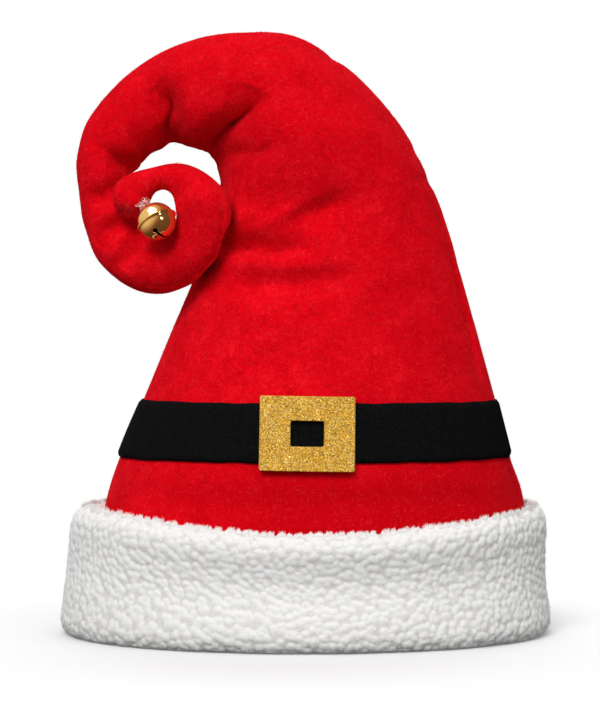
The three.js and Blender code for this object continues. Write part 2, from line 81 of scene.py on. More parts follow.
# Rows of the crown, from the rim up the body, over the arch and round the curl to the tip
CROWN_SECTIONS = [
    # innerX, innerZ, outerX, outerZ, depth, forward
    (-0.440, 0.027, 0.440, 0.027, 0.420, 0.000),
    (-0.412, 0.205, 0.449, 0.205, 0.404, 0.000),
    (-0.380, 0.292, 0.419, 0.292, 0.372, 0.000),
    (-0.331, 0.389, 0.388, 0.389, 0.338, 0.000),
    (-0.283, 0.484, 0.356, 0.484, 0.306, 0.000),
    (-0.237, 0.573, 0.324, 0.573, 0.279, 0.000),
    (-0.199, 0.656, 0.298, 0.656, 0.258, 0.000),
    (-0.182, 0.715, 0.273, 0.715, 0.245, 0.000),
    (-0.181, 0.751, 0.248, 0.765, 0.239, 0.000),
    (-0.191, 0.780, 0.212, 0.821, 0.234, 0.000),
    (-0.208, 0.793, 0.158, 0.883, 0.223, 0.000),
    (-0.227, 0.804, 0.080, 0.945, 0.210, 0.000),
    (-0.248, 0.808, -0.020, 0.992, 0.197, 0.000),
    (-0.271, 0.808, -0.130, 1.002, 0.181, 0.000),
    (-0.293, 0.803, -0.238, 0.986, 0.160, 0.000),
    (-0.314, 0.797, -0.328, 0.953, 0.138, 0.000),
    (-0.332, 0.778, -0.406, 0.897, 0.114, 0.010),
    (-0.351, 0.760, -0.451, 0.845, 0.101, 0.020),
    (-0.361, 0.736, -0.467, 0.785, 0.088, 0.032),
    (-0.350, 0.711, -0.461, 0.729, 0.077, 0.043),
    (-0.334, 0.692, -0.446, 0.676, 0.072, 0.053),
    (-0.318, 0.677, -0.417, 0.619, 0.072, 0.069),
    (-0.300, 0.668, -0.357, 0.578, 0.072, 0.092),
    (-0.282, 0.666, -0.283, 0.565, 0.072, 0.120),
    (-0.267, 0.673, -0.216, 0.585, 0.072, 0.149),
    (-0.258, 0.686, -0.171, 0.628, 0.072, 0.172),
    (-0.257, 0.700, -0.149, 0.680, 0.072, 0.186),
    (-0.258, 0.713, -0.152, 0.721, 0.072, 0.189),
    (-0.262, 0.725, -0.183, 0.752, 0.058, 0.187),
    (-0.271, 0.733, -0.224, 0.772, 0.047, 0.183),
    (-0.284, 0.736, -0.269, 0.780, 0.040, 0.177),
    (-0.298, 0.733, -0.311, 0.775, 0.039, 0.170),
    (-0.307, 0.726, -0.351, 0.763, 0.041, 0.163),
    (-0.313, 0.716, -0.379, 0.740, 0.043, 0.158),
    (-0.317, 0.705, -0.381, 0.713, 0.041, 0.156),
    (-0.328, 0.697, -0.368, 0.700, 0.025, 0.155),
]

# Creases pressed into the crown, each from one station and turn to another
CREASES = [
    # fromStation, fromTurn, toStation, toTurn, width, depth
    (14.9, 68, 12.7, 188, 1.0, 0.9),
    (12.8, 184, 12.0, 250, 1.0, 0.6),
    (11.6, 86, 9.6, 188, 1.1, 1.2),
    (9.8, 186, 8.8, 260, 1.1, 0.8),
    (10.0, 98, 7.4, 190, 1.3, 0.7),
    (6.1, 112, 7.4, 76, 1.4, 0.6),
    (6.0, 165, 5.7, 94, 0.9, 0.9),
    (5.3, 155, 4.9, 80, 1.5, 0.6),
    (15.9, 195, 17.5, 100, 0.8, 0.6),
    (17.7, 160, 19.4, 56, 0.7, 0.6),
    (20.0, 145, 20.7, 40, 0.6, 0.6),
    (20.9, 140, 21.2, 75, 0.45, 0.4),
    (21.4, 150, 21.7, 50, 0.55, 0.6),
    (7.7, 8, 4.6, 16, 0.6, 0.6),
    (5.4, 14, 3.4, 20, 0.6, 0.7),
    (1.8, 14, 1.1, 11, 0.5, 0.4),
    (11.2, -30, 11.3, 50, 0.5, 0.14),
    (8.7, -35, 8.6, 40, 0.5, 0.10),
    (7.8, -30, 7.7, 45, 0.5, 0.16),
]

# Finer folds of the plush over those creases, a ridge where the depth is negative
FOLDS = [
    # fromStation, fromTurn, toStation, toTurn, width, depth, sharpness
    (10.0, 184, 11.1, 120, 3.4, 5.2, 1.1),
    (10.9, 138, 11.27, 90, 3.0, 5.4, 1.1),
    (6.45, 144, 6.1, 58, 20.0, 4.2, 2.0),
    (9.5, 120, 9.2, 60, 15.0, -2.5, 2.0),
    (11.9, 150, 11.75, 102, 7.0, -1.6, 2.0),
    (10.6, 180, 11.9, 116, 8.0, 1.8, 2.0),
    (9.1, 168, 9.25, 108, 5.5, 3.2, 1.5),
    (8.0, 162, 9.9, 104, 4.2, -2.4, 1.4),
    (6.45, 112, 7.2, 76, 6.5, 4.4, 1.7),
    (6.0, 134, 7.5, 84, 4.6, -3.0, 1.4),
    (5.93, 162, 5.75, 102, 3.8, 5.0, 1.2),
    (5.6, 138, 5.6, 96, 4.5, -2.0, 1.5),
    (5.05, 138, 5.25, 76, 7.5, 3.6, 1.7),
    (5.35, 130, 5.5, 80, 4.5, -1.5, 1.5),
    (12.4, 48, 11.2, 10, 5.0, 1.6, 1.6),
    (7.3, 24, 5.2, 13, 2.4, 1.8, 1.3),
    (5.4, 12, 3.1, 22, 2.4, 1.6, 1.3),
    (13.0, 186, 14.45, 84, 3.6, 5.6, 1.25),
    (14.0, 130, 14.95, 52, 8.0, 6.0, 1.7),
    (12.4, 186, 13.1, 122, 3.4, 2.0, 1.3),
    (15.3, 184, 15.8, 112, 3.4, 2.2, 1.3),
    (16.6, 166, 17.2, 72, 3.6, 3.8, 1.2),
    (19.0, 164, 18.9, 56, 3.4, 2.4, 1.4),
    (20.0, 128, 20.35, 46, 3.4, 1.9, 1.5),
    (21.35, 142, 21.6, 66, 2.6, 3.0, 1.2),
    (21.3, 88, 21.55, 28, 3.4, 1.8, 1.5),
    (22.6, 38, 27.3, 39, 1.0, 0.9, 1.4),
    (15.8, 178, 16.9, 186, 3.6, -2.6, 2.0),
    (27.6, 8, 32.6, 8, 5.2, 2.8, 2.0),
    (1.25, 8, 1.25, 172, 9.0, 2.6, 2.0),
    (10.0, 181, 11.1, 262, 4.5, 3.2, 1.2),
    (13.2, 186, 14.2, 258, 3.6, 2.8, 1.3),
    (9.1, 196, 9.3, 250, 6.0, 1.9, 1.6),
    (6.0, 206, 6.3, 264, 5.5, 2.4, 1.6),
    (16.6, 178, 17.1, 285, 4.5, 2.2, 1.4),
    (5.0, 228, 4.7, 288, 8.0, 1.8, 1.8),
    (7.4, 226, 6.9, 285, 7.0, -1.6, 1.7),
]

# Cuff section up the outside: height, swell, squeeze at the right edge, valley at front and back
CUFF_OUTSIDE = [
    (0.00, 0.66, 0.00, 0.00),
    (0.03, 0.87, 0.00, 0.00),
    (0.10, 0.99, 0.00, -0.02),
    (0.20, 1.00, 0.05, -0.02),
    (0.32, 1.00, 0.15, 0.06),
    (0.45, 0.98, 0.22, 0.17),
    (0.58, 0.97, 0.26, 0.20),
    (0.71, 0.98, 0.29, 0.12),
    (0.83, 1.00, 0.31, 0.02),
    (0.92, 0.95, 0.31, 0.00),
    (0.98, 0.74, 0.22, 0.00),
    (1.00, 0.45, 0.12, 0.00),
    (0.975, 0.20, 0.05, 0.00),
]


class Side(Enum):
    """Half of the cuff, by the turns that it runs between."""

    FRONT = (0.0, math.pi)
    BACK = (math.pi, 2 * math.pi)


def spline(rows: np.ndarray, place: np.ndarray) -> np.ndarray:
    """Runs a smooth curve through the rows of a table.

    Args:
        rows: One row of numbers for each whole place.
        place: Where on the curve, counted in rows.

    Returns:
        A row of numbers for each place.
    """
    ends = np.vstack([2 * rows[0] - rows[1], rows, 2 * rows[-1] - rows[-2]])
    place = np.clip(place, 0, len(rows) - 1)
    first = np.minimum(np.floor(place).astype(int), len(rows) - 2)
    share = (place - first)[..., None]
    a, b, c, d = (ends[first + step] for step in range(4))
    cubic = (3 * b - a - 3 * c + d) * share**3
    square = (2 * a - 5 * b + 4 * c - d) * share**2
    return 0.5 * (2 * b + (c - a) * share + square + cubic)


def unit(vectors: np.ndarray) -> np.ndarray:
    """Vectors of length one, along the last axis."""
    return vectors / np.maximum(np.linalg.norm(vectors, axis=-1, keepdims=True), 1e-12)


def flattened(vectors: np.ndarray, normals: np.ndarray) -> np.ndarray:
    """What is left of vectors along the surfaces that face along the normals."""
    return vectors - normals * np.sum(vectors * normals, axis=1, keepdims=True)


def eased(share: np.ndarray) -> np.ndarray:
    """Shares from 0 to 1 that start and end gently."""
    return share * share * (3 - 2 * share)


def hashed(cells: np.ndarray, seed: int) -> np.ndarray:
    """Even random numbers from 0 to 1, fixed by whole-number cell coordinates.

    Args:
        cells: Whole numbers, three on the last axis.
        seed: Which set of random numbers.

    Returns:
        One number for each cell.
    """
    whole = cells.astype(np.int64).astype(np.uint32)
    mixed = whole[..., 0] * np.uint32(73856093) ^ whole[..., 1] * np.uint32(19349663)
    mixed ^= whole[..., 2] * np.uint32(83492791) ^ np.uint32(seed * 2654435761 % 2**32)
    for _ in range(2):
        mixed ^= mixed >> np.uint32(16)
        mixed *= np.uint32(0x45D9F3B)
    mixed ^= mixed >> np.uint32(16)
    return mixed.astype(np.float64) / 2**32


def value_noise(points: np.ndarray, size: float, seed: int) -> np.ndarray:
    """Smooth noise from -1 to 1.

    Args:
        points: Points in millimetres, three on the last axis.
        size: Width of a wave.
        seed: Which noise.

    Returns:
        One number for each point.
    """
    scaled = points / size
    base = np.floor(scaled)
    share = eased(scaled - base)
    total = np.zeros(points.shape[:-1])
    for corner in np.ndindex(2, 2, 2):
        offset = np.array(corner)
        weight = np.prod(np.where(offset == 1, share, 1 - share), axis=-1)
        total += weight * hashed(base + offset, seed)
    return 2 * total - 1


@dataclass(frozen=True)
class TuftField:
    """Round tufts that press against each other, a count of them round a whole band."""

    count: int
    seed: int
    softness: float = 19.0
    jitter: float = 0.86
    row_pitch: float = 0.92
    uneven: float = 0.30
    steep: float = 1.8
    drawn_along: float = 0.2
    pinched_beside: float = 0.25
    floor: float = -0.5
    rise: float = 0.65
    highest: float = 1.2

    def height(self, across: np.ndarray, up: np.ndarray, slant: np.ndarray) -> np.ndarray:
        """Height of the field.

        Args:
            across: Places along the band, counted in tufts.
            up: Places across the band, counted in tufts.
            slant: How long the tufts are drawn, 0 for round.

        Returns:
            One number for each place, near 1 on the tops and 0 deep between them.
        """
        base = np.floor(up)
        total = np.zeros(np.broadcast_shapes(across.shape, up.shape))
        for step in np.ndindex(3, 3):
            row = base + step[0] - 1
            shift = 0.5 * np.mod(row, 2)
            column = np.floor(across - shift) + step[1] - 1
            row = np.broadcast_to(row, column.shape)
            cell = np.stack([np.mod(column, self.count), row, np.zeros_like(column)], axis=-1)
            aside = across - column - shift - 0.5 - self.jitter * (hashed(cell, self.seed) - 0.5)
            above = up - row - 0.5 - self.jitter * (hashed(cell, self.seed + 1) - 0.5)
            above = self.row_pitch * above
            along, beside = (aside + above) / math.sqrt(2), (aside - above) / math.sqrt(2)
            square = along**2 * (1 - self.drawn_along * slant)
            square = square + beside**2 * (1 + self.pinched_beside * slant)
            push = self.uneven * hashed(cell, self.seed + 2) - self.steep * square
            total += np.exp(self.softness * push)
        return np.clip((np.log(total) / self.softness - self.floor) / self.rise, 0, self.highest)


@dataclass(frozen=True)
class CrownForm:
    """The crown's surface by station, a row of CROWN_SECTIONS, and turn from the outer edge."""

    width: float = 262.0
    height: float = 321.0
    depth: float = 188.0
    crease_width: float = 10.0
    crease_depth: float = 5.0
    crease_ridge: float = 0.9
    crease_reach: float = 3.0
    fold_reach: float = 3.5
    padded_from: float = 4.0
    padded_over: float = 2.0
    lump_rises: tuple[float, float] = (0.9, 0.35)
    lump_sizes: tuple[float, float] = (30.0, 11.0)
    lump_seed: int = 61
    body_end: float = 7.0
    level_stops: int = 600

    @property
    def last(self) -> int:
        """Station of the tip."""
        return len(CROWN_SECTIONS) - 1

    def smooth(self, station: np.ndarray, turn: np.ndarray) -> np.ndarray:
        """Points of the surface without creases.

        Args:
            station: Stations, whole or between rows.
            turn: Turns in radians.

        Returns:
            Points in millimetres.
        """
        station, turn = np.broadcast_arrays(np.asarray(station, float), np.asarray(turn, float))
        row = spline(np.array(CROWN_SECTIONS), station)
        mix = 0.5 + 0.5 * np.cos(turn)
        x = (row[..., 0] + (row[..., 2] - row[..., 0]) * mix) * self.width
        z = (row[..., 1] + (row[..., 3] - row[..., 1]) * mix) * self.height
        y = -(row[..., 5] + row[..., 4] * np.sin(turn)) * self.depth
        return np.stack([x, y, z], axis=-1)

    def normal(self, station: np.ndarray, turn: np.ndarray) -> np.ndarray:
        """Directions that point out of the smooth surface."""
        step = 0.02
        ahead = self.smooth(np.minimum(station + step, self.last), turn)
        along = ahead - self.smooth(np.maximum(station - step, 0), turn)
        around = self.smooth(station, turn + step) - self.smooth(station, turn - step)
        return unit(np.cross(along, around))

    def beside(
        self, flat: np.ndarray, ends: tuple[float, ...], stops: int, reach: float
    ) -> tuple[np.ndarray, np.ndarray, np.ndarray]:
        """Finds the points that lie near a route over the smooth surface.

        Args:
            flat: Points, one in a row.
            ends: Station and turn, in degrees, of the route's start and of its end.
            stops: Places that the route is laid through.
            reach: How near is near enough.

        Returns:
            Which points are near, how far off each of those is, and where along the route it lies.
        """
        from_station, from_turn, to_station, to_turn = ends
        share = np.linspace(0, 1, stops)
        stations = from_station + (to_station - from_station) * share
        turns = np.radians(from_turn + (to_turn - from_turn) * share)
        route = self.smooth(stations, turns)
        close = np.all((flat > route.min(0) - reach) & (flat < route.max(0) + reach), axis=1)
        return close, *self.nearest(flat[close], route)

    def creases(self, points: np.ndarray) -> np.ndarray:
        """How far CREASES press the surface in, negative on the low ridge beside a crease."""
        flat = points.reshape(-1, 3)
        total = np.zeros(len(flat))
        for *ends, width, depth in CREASES:
            reach = self.crease_reach * width * self.crease_width
            close, away, place = self.beside(flat, tuple(ends), 11, reach)
            across = self.crease_ridge * (away / (width * self.crease_width)) ** 2
            fade = np.sqrt(np.maximum(0, np.sin(np.pi * place)))
            total[close] += depth * self.crease_depth * fade * (1 - across) * np.exp(-across)
        return total.reshape(points.shape[:-1])

    def folds(self, points: np.ndarray) -> np.ndarray:
        """How far FOLDS press the surface in, by their own widths in millimetres."""
        flat = points.reshape(-1, 3)
        total = np.zeros(len(flat))
        for *ends, width, depth, sharpness in FOLDS:
            close, away, place = self.beside(flat, tuple(ends), 15, self.fold_reach * width)
            fade = np.sin(np.pi * np.clip(place * 0.9 + 0.05, 0, 1)) ** 0.8
            total[close] += depth * fade * np.exp(-((away / width) ** sharpness))
        return total.reshape(points.shape[:-1])

    @staticmethod
    def nearest(points: np.ndarray, route: np.ndarray) -> tuple[np.ndarray, np.ndarray]:
        """Distance from points to a line of points, and where along it the nearest place lies."""
        best = np.full(len(points), np.inf)
        place = np.zeros(len(points))
        steps = len(route) - 1
        for index in range(steps):
            line = route[index + 1] - route[index]
            along = np.clip((points - route[index]) @ line / (line @ line), 0, 1)
            away = np.linalg.norm(points - route[index] - along[:, None] * line, axis=1)
            closer = away < best
            best = np.where(closer, away, best)
            place = np.where(closer, (index + along) / steps, place)
        return best, place

    def folded(self, station: np.ndarray, turn: np.ndarray) -> np.ndarray:
        """Points of the padded plush, with all its folds and lumps."""
        points = self.smooth(station, turn)
        station = np.broadcast_to(station, points.shape[:-1])
        padding = np.clip((station - self.padded_from) / self.padded_over, 0, 1)
        lumps = np.zeros(points.shape[:-1])
        for index, (rise, size) in enumerate(zip(self.lump_rises, self.lump_sizes)):
            lumps = lumps + rise * value_noise(points, size, self.lump_seed + index)
        height = lumps * padding - self.folds(points) - self.creases(points)
        return points + self.normal(station, turn) * height[..., None]

    def creased(self, station: np.ndarray, turn: np.ndarray, lift: float = 0.0) -> np.ndarray:
        """Points at a height over the creased surface."""
        points = self.smooth(station, turn)
        height = lift - self.creases(points)
        return points + self.normal(station, turn) * height[..., None]

    def station_at(self, height: np.ndarray) -> np.ndarray:
        """Stations of level lines round the body."""
        stations = np.linspace(0, self.body_end, self.level_stops)
        heights = self.smooth(stations, np.zeros(self.level_stops))[:, 2]
        return np.interp(height, heights, stations)

    def level(self, height: np.ndarray, turn: np.ndarray, lift: np.ndarray) -> np.ndarray:
        """Points over the body at set heights, lifted level.

        Args:
            height: Heights over the floor.
            turn: Turns in radians.
            lift: How far out of the cloth.

        Returns:
            Points in millimetres.
        """
        height, turn, lift = np.broadcast_arrays(height, turn, lift)
        station = self.station_at(height)
        points = self.creased(station, turn)
        outward = self.normal(station, turn)
        outward[..., 2] = 0
        points = points + unit(outward) * lift[..., None]
        points[..., 2] = height
        return points


class Value:
    """An output that varies over a surface. Python's operators add Math nodes."""

    def __init__(self, graph: Graph, socket: bpy.types.NodeSocket) -> None:
        """Wraps an output socket of a material's graph."""
        self.graph = graph
        self.socket = socket

    def _maths(self, operation: str, *terms: Value | float) -> Value:
        """Adds one Math node on the terms, in their order."""
        return self.graph.add("ShaderNodeMath", {"operation": operation}, dict(enumerate(terms)))

    def __add__(self, other: Value | float) -> Value:
        """Sum."""
        return self._maths("ADD", self, other)

    __radd__ = __add__

    def __sub__(self, other: Value | float) -> Value:
        """Difference."""
        return self._maths("SUBTRACT", self, other)

    def __rsub__(self, other: Value | float) -> Value:
        """Difference, the other way round."""
        return self._maths("SUBTRACT", other, self)

    def __mul__(self, other: Value | float) -> Value:
        """Product."""
        return self._maths("MULTIPLY", self, other)

    __rmul__ = __mul__

    def between(self, low: float, high: float) -> Value:
        """The value as a share from low to high, kept between 0 and 1."""
        settings = {"clamp": True, "interpolation_type": "SMOOTHSTEP"}
        return self.graph.add("ShaderNodeMapRange", settings, {0: self, 1: low, 2: high, 3: 0.0, 4: 1.0})


class Graph:
    """The nodes of one material or world."""

    def __init__(self, owner: bpy.types.Material | bpy.types.World) -> None:
        """Empties the nodes of a new material or world."""
        self.owner = owner
        owner.use_nodes = True
        self.tree = owner.node_tree
        self.tree.nodes.clear()

    @classmethod
    def of(cls, name: str) -> Graph:
        """Starts an empty material."""
        return cls(bpy.data.materials.new(name))

    def add(
        self,
        kind: str,
        settings: dict[str, object] | None = None,
        values: dict[int | str, object] | None = None,
        output: int | str | None = 0,
    ) -> Value | None:
        """Adds a node.

        Args:
            kind: The node's type.
            settings: Its own settings.
            values: A constant or a Value for each input, by name or number.
            output: The output that the result stands for, or None where the node has none.

        Returns:
            That output.
        """
        node = self.tree.nodes.new(kind)
        for name, setting in (settings or {}).items():
            setattr(node, name, setting)
        for key, value in (values or {}).items():
            if isinstance(value, Value):
                self.tree.links.new(value.socket, node.inputs[key])
            else:
                node.inputs[key].default_value = value
        return None if output is None else Value(self, node.outputs[output])

    def place(self) -> Value:
        """Object coordinates, in metres."""
        return self.add("ShaderNodeTexCoord", output="Object")

    def attribute(self, name: str) -> Value:
        """A number kept on the mesh."""
        return self.add("ShaderNodeAttribute", {"attribute_name": name}, output="Fac")

    def noise(
        self, size: float, detail: float = 2.0, roughness: float = 0.5, warp: float = 0.0
    ) -> Value:
        """Noise from 0 to 1 whose waves are about size millimetres wide."""
        values = {
            "Vector": self.place(),
            "Scale": 1 / (size * MM),
            "Detail": detail,
            "Roughness": roughness,
            "Distortion": warp,
        }
        return self.add("ShaderNodeTexNoise", {"noise_dimensions": "3D"}, values)

    def mix(self, share: Value | float, low: object, high: object) -> Value:
        """A colour between two others."""
        settings = {"data_type": "RGBA", "blend_type": "MIX"}
        return self.add("ShaderNodeMix", settings, {0: share, 6: low, 7: high}, 2)

    def bump(
        self, height: Value, depth: float, strength: float = 1.0, under: Value | None = None
    ) -> Value:
        """Relief in a surface's shading.

        Args:
            height: The relief, 0 to 1.
            depth: Millimetres between 0 and 1.
            strength: How much of it is used.
            under: A coarser relief that it lies on.

        Returns:
            The bent normal.
        """
        values = {"Height": height, "Distance": depth * MM, "Strength": strength}
        if under is not None:
            values["Normal"] = under
        return self.add("ShaderNodeBump", None, values)

    def close(self, surface: Value, kind: str = "ShaderNodeOutputMaterial") -> None:
        """Leads a shader to the output."""
        self.add(kind, None, {"Surface": surface}, None)

    def shade(self, **values: object) -> bpy.types.Material:
        """Closes the material with one surface shader.

        Args:
            **values: Its inputs, with _ for spaces in their names.

        Returns:
            The material.
        """
        inputs = {name.replace("_", " "): value for name, value in values.items()}
        self.close(self.add("ShaderNodeBsdfPrincipled", None, inputs))
        return self.owner


Colour = tuple[float, float, float, float]
WHITE: Colour = (1.0, 1.0, 1.0, 1.0)
BLACK: Colour = (0.0, 0.0, 0.0, 1.0)


class Finish(Protocol):
    """What every finish offers."""

    name: str

    def material(self) -> bpy.types.Material:
        """Builds the material."""


@dataclass(frozen=True)
class Plush:
    """Short brushed pile."""

    name: str = "brushed_plush"
    base: Colour = (0.76, 0.0022, 0.0086, 1.0)
    light: Colour = (1.0, 0.0110, 0.0235, 1.0)
    # Darker tone of the random mottling, also used for the painted shade by the cuff, on the right and
    # on top
    dark: Colour = (0.48, 0.0008, 0.004, 1.0)
    # Painted shade deep in folds
    deep: Colour = (0.17, 0.0004, 0.002, 1.0)

    def material(self) -> bpy.types.Material:
        """Builds the material, with painted shade towards the dark colour by the cuff, to the right and
        on top.

        "shelter" on the mesh is near 1 deep in folds, where the colour goes to a painted shade.
        """
        graph = Graph.of(self.name)
        patches = graph.noise(16, 4.0, 0.6, 0.4)
        nap = graph.noise(3.4, 5.0, 0.7, 1.4)
        pile = graph.noise(0.7, 3.0, 0.75)
        shade = patches * 0.3 + nap * 0.4 + pile * 0.3
        colour = graph.mix(shade.between(0.34, 0.52), self.dark, self.base)
        colour = graph.mix(shade.between(0.50, 0.66), colour, self.light)
        height = graph.add("ShaderNodeSeparateXYZ", None, {0: graph.place()}, "Z")
        across = graph.add("ShaderNodeSeparateXYZ", None, {0: graph.place()}, "X")
        # Painted shade: darker near the cuff, more so on the right side
        low_shade_share = across.between(-0.09, -0.01) * 0.45 + 0.25
        colour = graph.mix((1 - height.between(0.07, 0.105)) * low_shade_share, colour, self.dark)
        # Painted shade: darker to the right of the middle, and darker on top
        colour = graph.mix(across.between(-0.03, 0.10) * 0.42, colour, self.dark)
        colour = graph.mix(height.between(0.21, 0.33) * 0.3, colour, self.dark)
        # Painted shade in folds, by how closely the cloth shuts itself in
        colour = graph.mix(graph.attribute("shelter"), colour, self.deep)
        soft = graph.bump(nap, 1.1, 0.7)
        fine = graph.bump(pile, 0.35, 0.9, soft)
        return graph.shade(
            Base_Color=colour,
            Roughness=1.0,
            Specular_IOR_Level=0.0,
            Sheen_Weight=0.09,
            Sheen_Roughness=0.4,
            Sheen_Tint=(1.0, 0.16, 0.22, 1.0),
            Normal=fine,
        )


@dataclass(frozen=True)
class PlushHair:
    """Single fibres that stand out of the pile."""

    name: str = "plush_fibre"
    root: Colour = (0.62, 0.002, 0.008, 1.0)
    tip: Colour = (0.96, 0.036, 0.054, 1.0)

    def material(self) -> bpy.types.Material:
        """Builds the material, lighter from fibre to fibre by the mesh's own number."""
        graph = Graph.of(self.name)
        colour = graph.mix(graph.attribute("shade"), self.root, self.tip)
        return graph.shade(Base_Color=colour, Roughness=0.9, Specular_IOR_Level=0.04)


@dataclass(frozen=True)
class Sherpa:
    """White tufted fleece."""

    name: str = "sherpa_fleece"
    tuft: Colour = (0.77, 0.763, 0.753, 1.0)
    # Painted shade between the tufts
    crevice_shade: Colour = (0.63, 0.615, 0.60, 1.0)

    def material(self) -> bpy.types.Material:
        """Builds the material. "tuft" on the mesh is 0 between tufts and 1 on their tops; between them
        the colour goes to a painted shade.
        """
        graph = Graph.of(self.name)
        curl = graph.noise(0.9, 4.0, 0.62, 1.2)
        tone = graph.noise(9.0, 2.0)
        height = graph.attribute("tuft")
        lit = (height * 0.8 + curl * 0.3 + tone * 0.1).between(0.14, 0.48)
        # Painted shade between the tufts, mixed with the random curl and tone
        colour = graph.mix(lit, self.crevice_shade, self.tuft)
        fine = graph.bump(curl, 0.4, 0.6)
        return graph.shade(
            Base_Color=colour,
            Roughness=1.0,
            Specular_IOR_Level=0.02,
            Sheen_Weight=0.1,
            Normal=fine,
        )


@dataclass(frozen=True)
class Wisp:
    """Loose ends of the fleece."""

    name: str = "sherpa_wisp"
    root: Colour = (0.90, 0.895, 0.885, 1.0)
    tip: Colour = (0.98, 0.975, 0.97, 1.0)

    def material(self) -> bpy.types.Material:
        """Builds the material, lighter from wisp to wisp by the mesh's own number."""
        graph = Graph.of(self.name)
        colour = graph.mix(graph.attribute("shade"), self.root, self.tip)
        return graph.shade(Base_Color=colour, Roughness=1.0, Specular_IOR_Level=0.02)


@dataclass(frozen=True)
class Felt:
    """Matt pressed felt with a little lint."""

    name: str = "pressed_felt"
    base: Colour = (0.0028, 0.0029, 0.003, 1.0)
    lint: Colour = (0.013, 0.013, 0.014, 1.0)

    def material(self) -> bpy.types.Material:
        """Builds the material."""
        graph = Graph.of(self.name)
        mat = graph.noise(1.4, 4.0, 0.7, 1.5)
        specks = graph.noise(0.5, 3.0, 0.7)
        shade = (mat * 0.5 + specks * 0.5).between(0.44, 0.74)
        fine = graph.bump(mat * 0.5 + specks * 0.5, 0.35, 0.7)
        return graph.shade(
            Base_Color=graph.mix(shade, self.base, self.lint),
            Roughness=1.0,
            Specular_IOR_Level=0.03,
            Normal=fine,
        )


@dataclass(frozen=True)
class Glitter:
    """Gold glitter, each flake with its own tone."""

    name: str = "glitter_flakes"
    deep: Colour = (0.34, 0.16, 0.008, 1.0)
    gold: Colour = (0.98, 0.56, 0.04, 1.0)
    pale: Colour = (1.0, 0.92, 0.42, 1.0)

    def material(self) -> bpy.types.Material:
        """Builds the material from the tone kept on the mesh."""
        graph = Graph.of(self.name)
        tone = graph.attribute("tone")
        colour = graph.mix(tone.between(0.0, 0.4), self.deep, self.gold)
        colour = graph.mix(tone.between(0.7, 1.0), colour, self.pale)
        return graph.shade(Base_Color=colour, Metallic=0.25, Roughness=0.4)


@dataclass(frozen=True)
class GlitterBacking:
    """The foam sheet under the flakes."""

    name: str = "glitter_foam"
    base: Colour = (0.62, 0.38, 0.05, 1.0)
    dark: Colour = (0.30, 0.17, 0.02, 1.0)

    def material(self) -> bpy.types.Material:
        """Builds the material."""
        graph = Graph.of(self.name)
        grain = graph.noise(0.6, 2.0, 0.6)
        colour = graph.mix(grain.between(0.35, 0.65), self.dark, self.base)
        return graph.shade(
            Base_Color=colour, Metallic=0.4, Roughness=0.6, Normal=graph.bump(grain, 0.2)
        )


@dataclass(frozen=True)
class PolishedGold:
    """Bright plated metal with the faint scuffs of a small pressed bell, with a painted shade and a
    rougher finish inside it.
    """

    name: str = "polished_gold"
    base: Colour = (0.98, 0.70, 0.24, 1.0)
    worn: Colour = (0.90, 0.58, 0.16, 1.0)
    inside_shade: Colour = (0.030, 0.016, 0.006, 1.0)
    centre: tuple[float, float, float] = (0.0, 0.0, 0.0)
    inside: float = 9.3
    outside: float = 9.7

    def material(self) -> bpy.types.Material:
        """Builds the material."""
        graph = Graph.of(self.name)
        scuff = graph.noise(1.8, 4.0, 0.6, 0.5)
        colour = graph.mix(scuff.between(0.4, 0.75), self.base, self.worn)
        values = {0: graph.place(), 1: self.centre}
        away = graph.add("ShaderNodeVectorMath", {"operation": "DISTANCE"}, values, "Value")
        # Painted shade: near black and rougher inside the shell
        shown = away.between(self.inside * MM, self.outside * MM)
        return graph.shade(
            Base_Color=graph.mix(shown, self.inside_shade, colour),
            Metallic=0.94,
            Roughness=scuff * 0.10 + 0.05 + (1 - shown) * 0.5,
            Normal=graph.bump(scuff, 0.02, 0.3),
        )


@dataclass(frozen=True)
class Nylon:
    """Clear thread, its colour a painted red of the plush that shows through it, with painted highlights
    in random spots.
    """

    name: str = "nylon_thread"
    # Painted red of the plush seen through the thread, and painted highlights
    base: Colour = (0.86, 0.20, 0.26, 1.0)
    glint: Colour = (1.0, 0.86, 0.87, 1.0)

    def material(self) -> bpy.types.Material:
        """Builds the material."""
        graph = Graph.of(self.name)
        tone = graph.noise(0.8, 2.0)
        colour = graph.mix(tone.between(0.4, 0.6), self.base, self.glint)
        return graph.shade(
            Base_Color=colour, Roughness=0.12, Transmission_Weight=0.45, Coat_Weight=1.0
        )


def placed(name: str, data: bpy.types.ID) -> bpy.types.Object:
    """Puts a mesh, curve, light or camera in the scene as an object."""
    thing = bpy.data.objects.new(name, data)
    bpy.context.scene.collection.objects.link(thing)
    return thing


def read(
    rows: bpy.types.bpy_prop_collection, name: str, count: int, kind: type = float
) -> np.ndarray:
    """Reads one property of all the rows of a mesh's table."""
    numbers = np.empty(count, dtype=kind)
    rows.foreach_get(name, numbers)
    return numbers


def marked(mesh: bpy.types.Mesh, mark: str, numbers: np.ndarray) -> None:
    """Keeps a number on each point of a mesh."""
    layer = mesh.attributes.new(mark, "FLOAT", "POINT")
    layer.data.foreach_set("value", numbers.astype(np.float32))


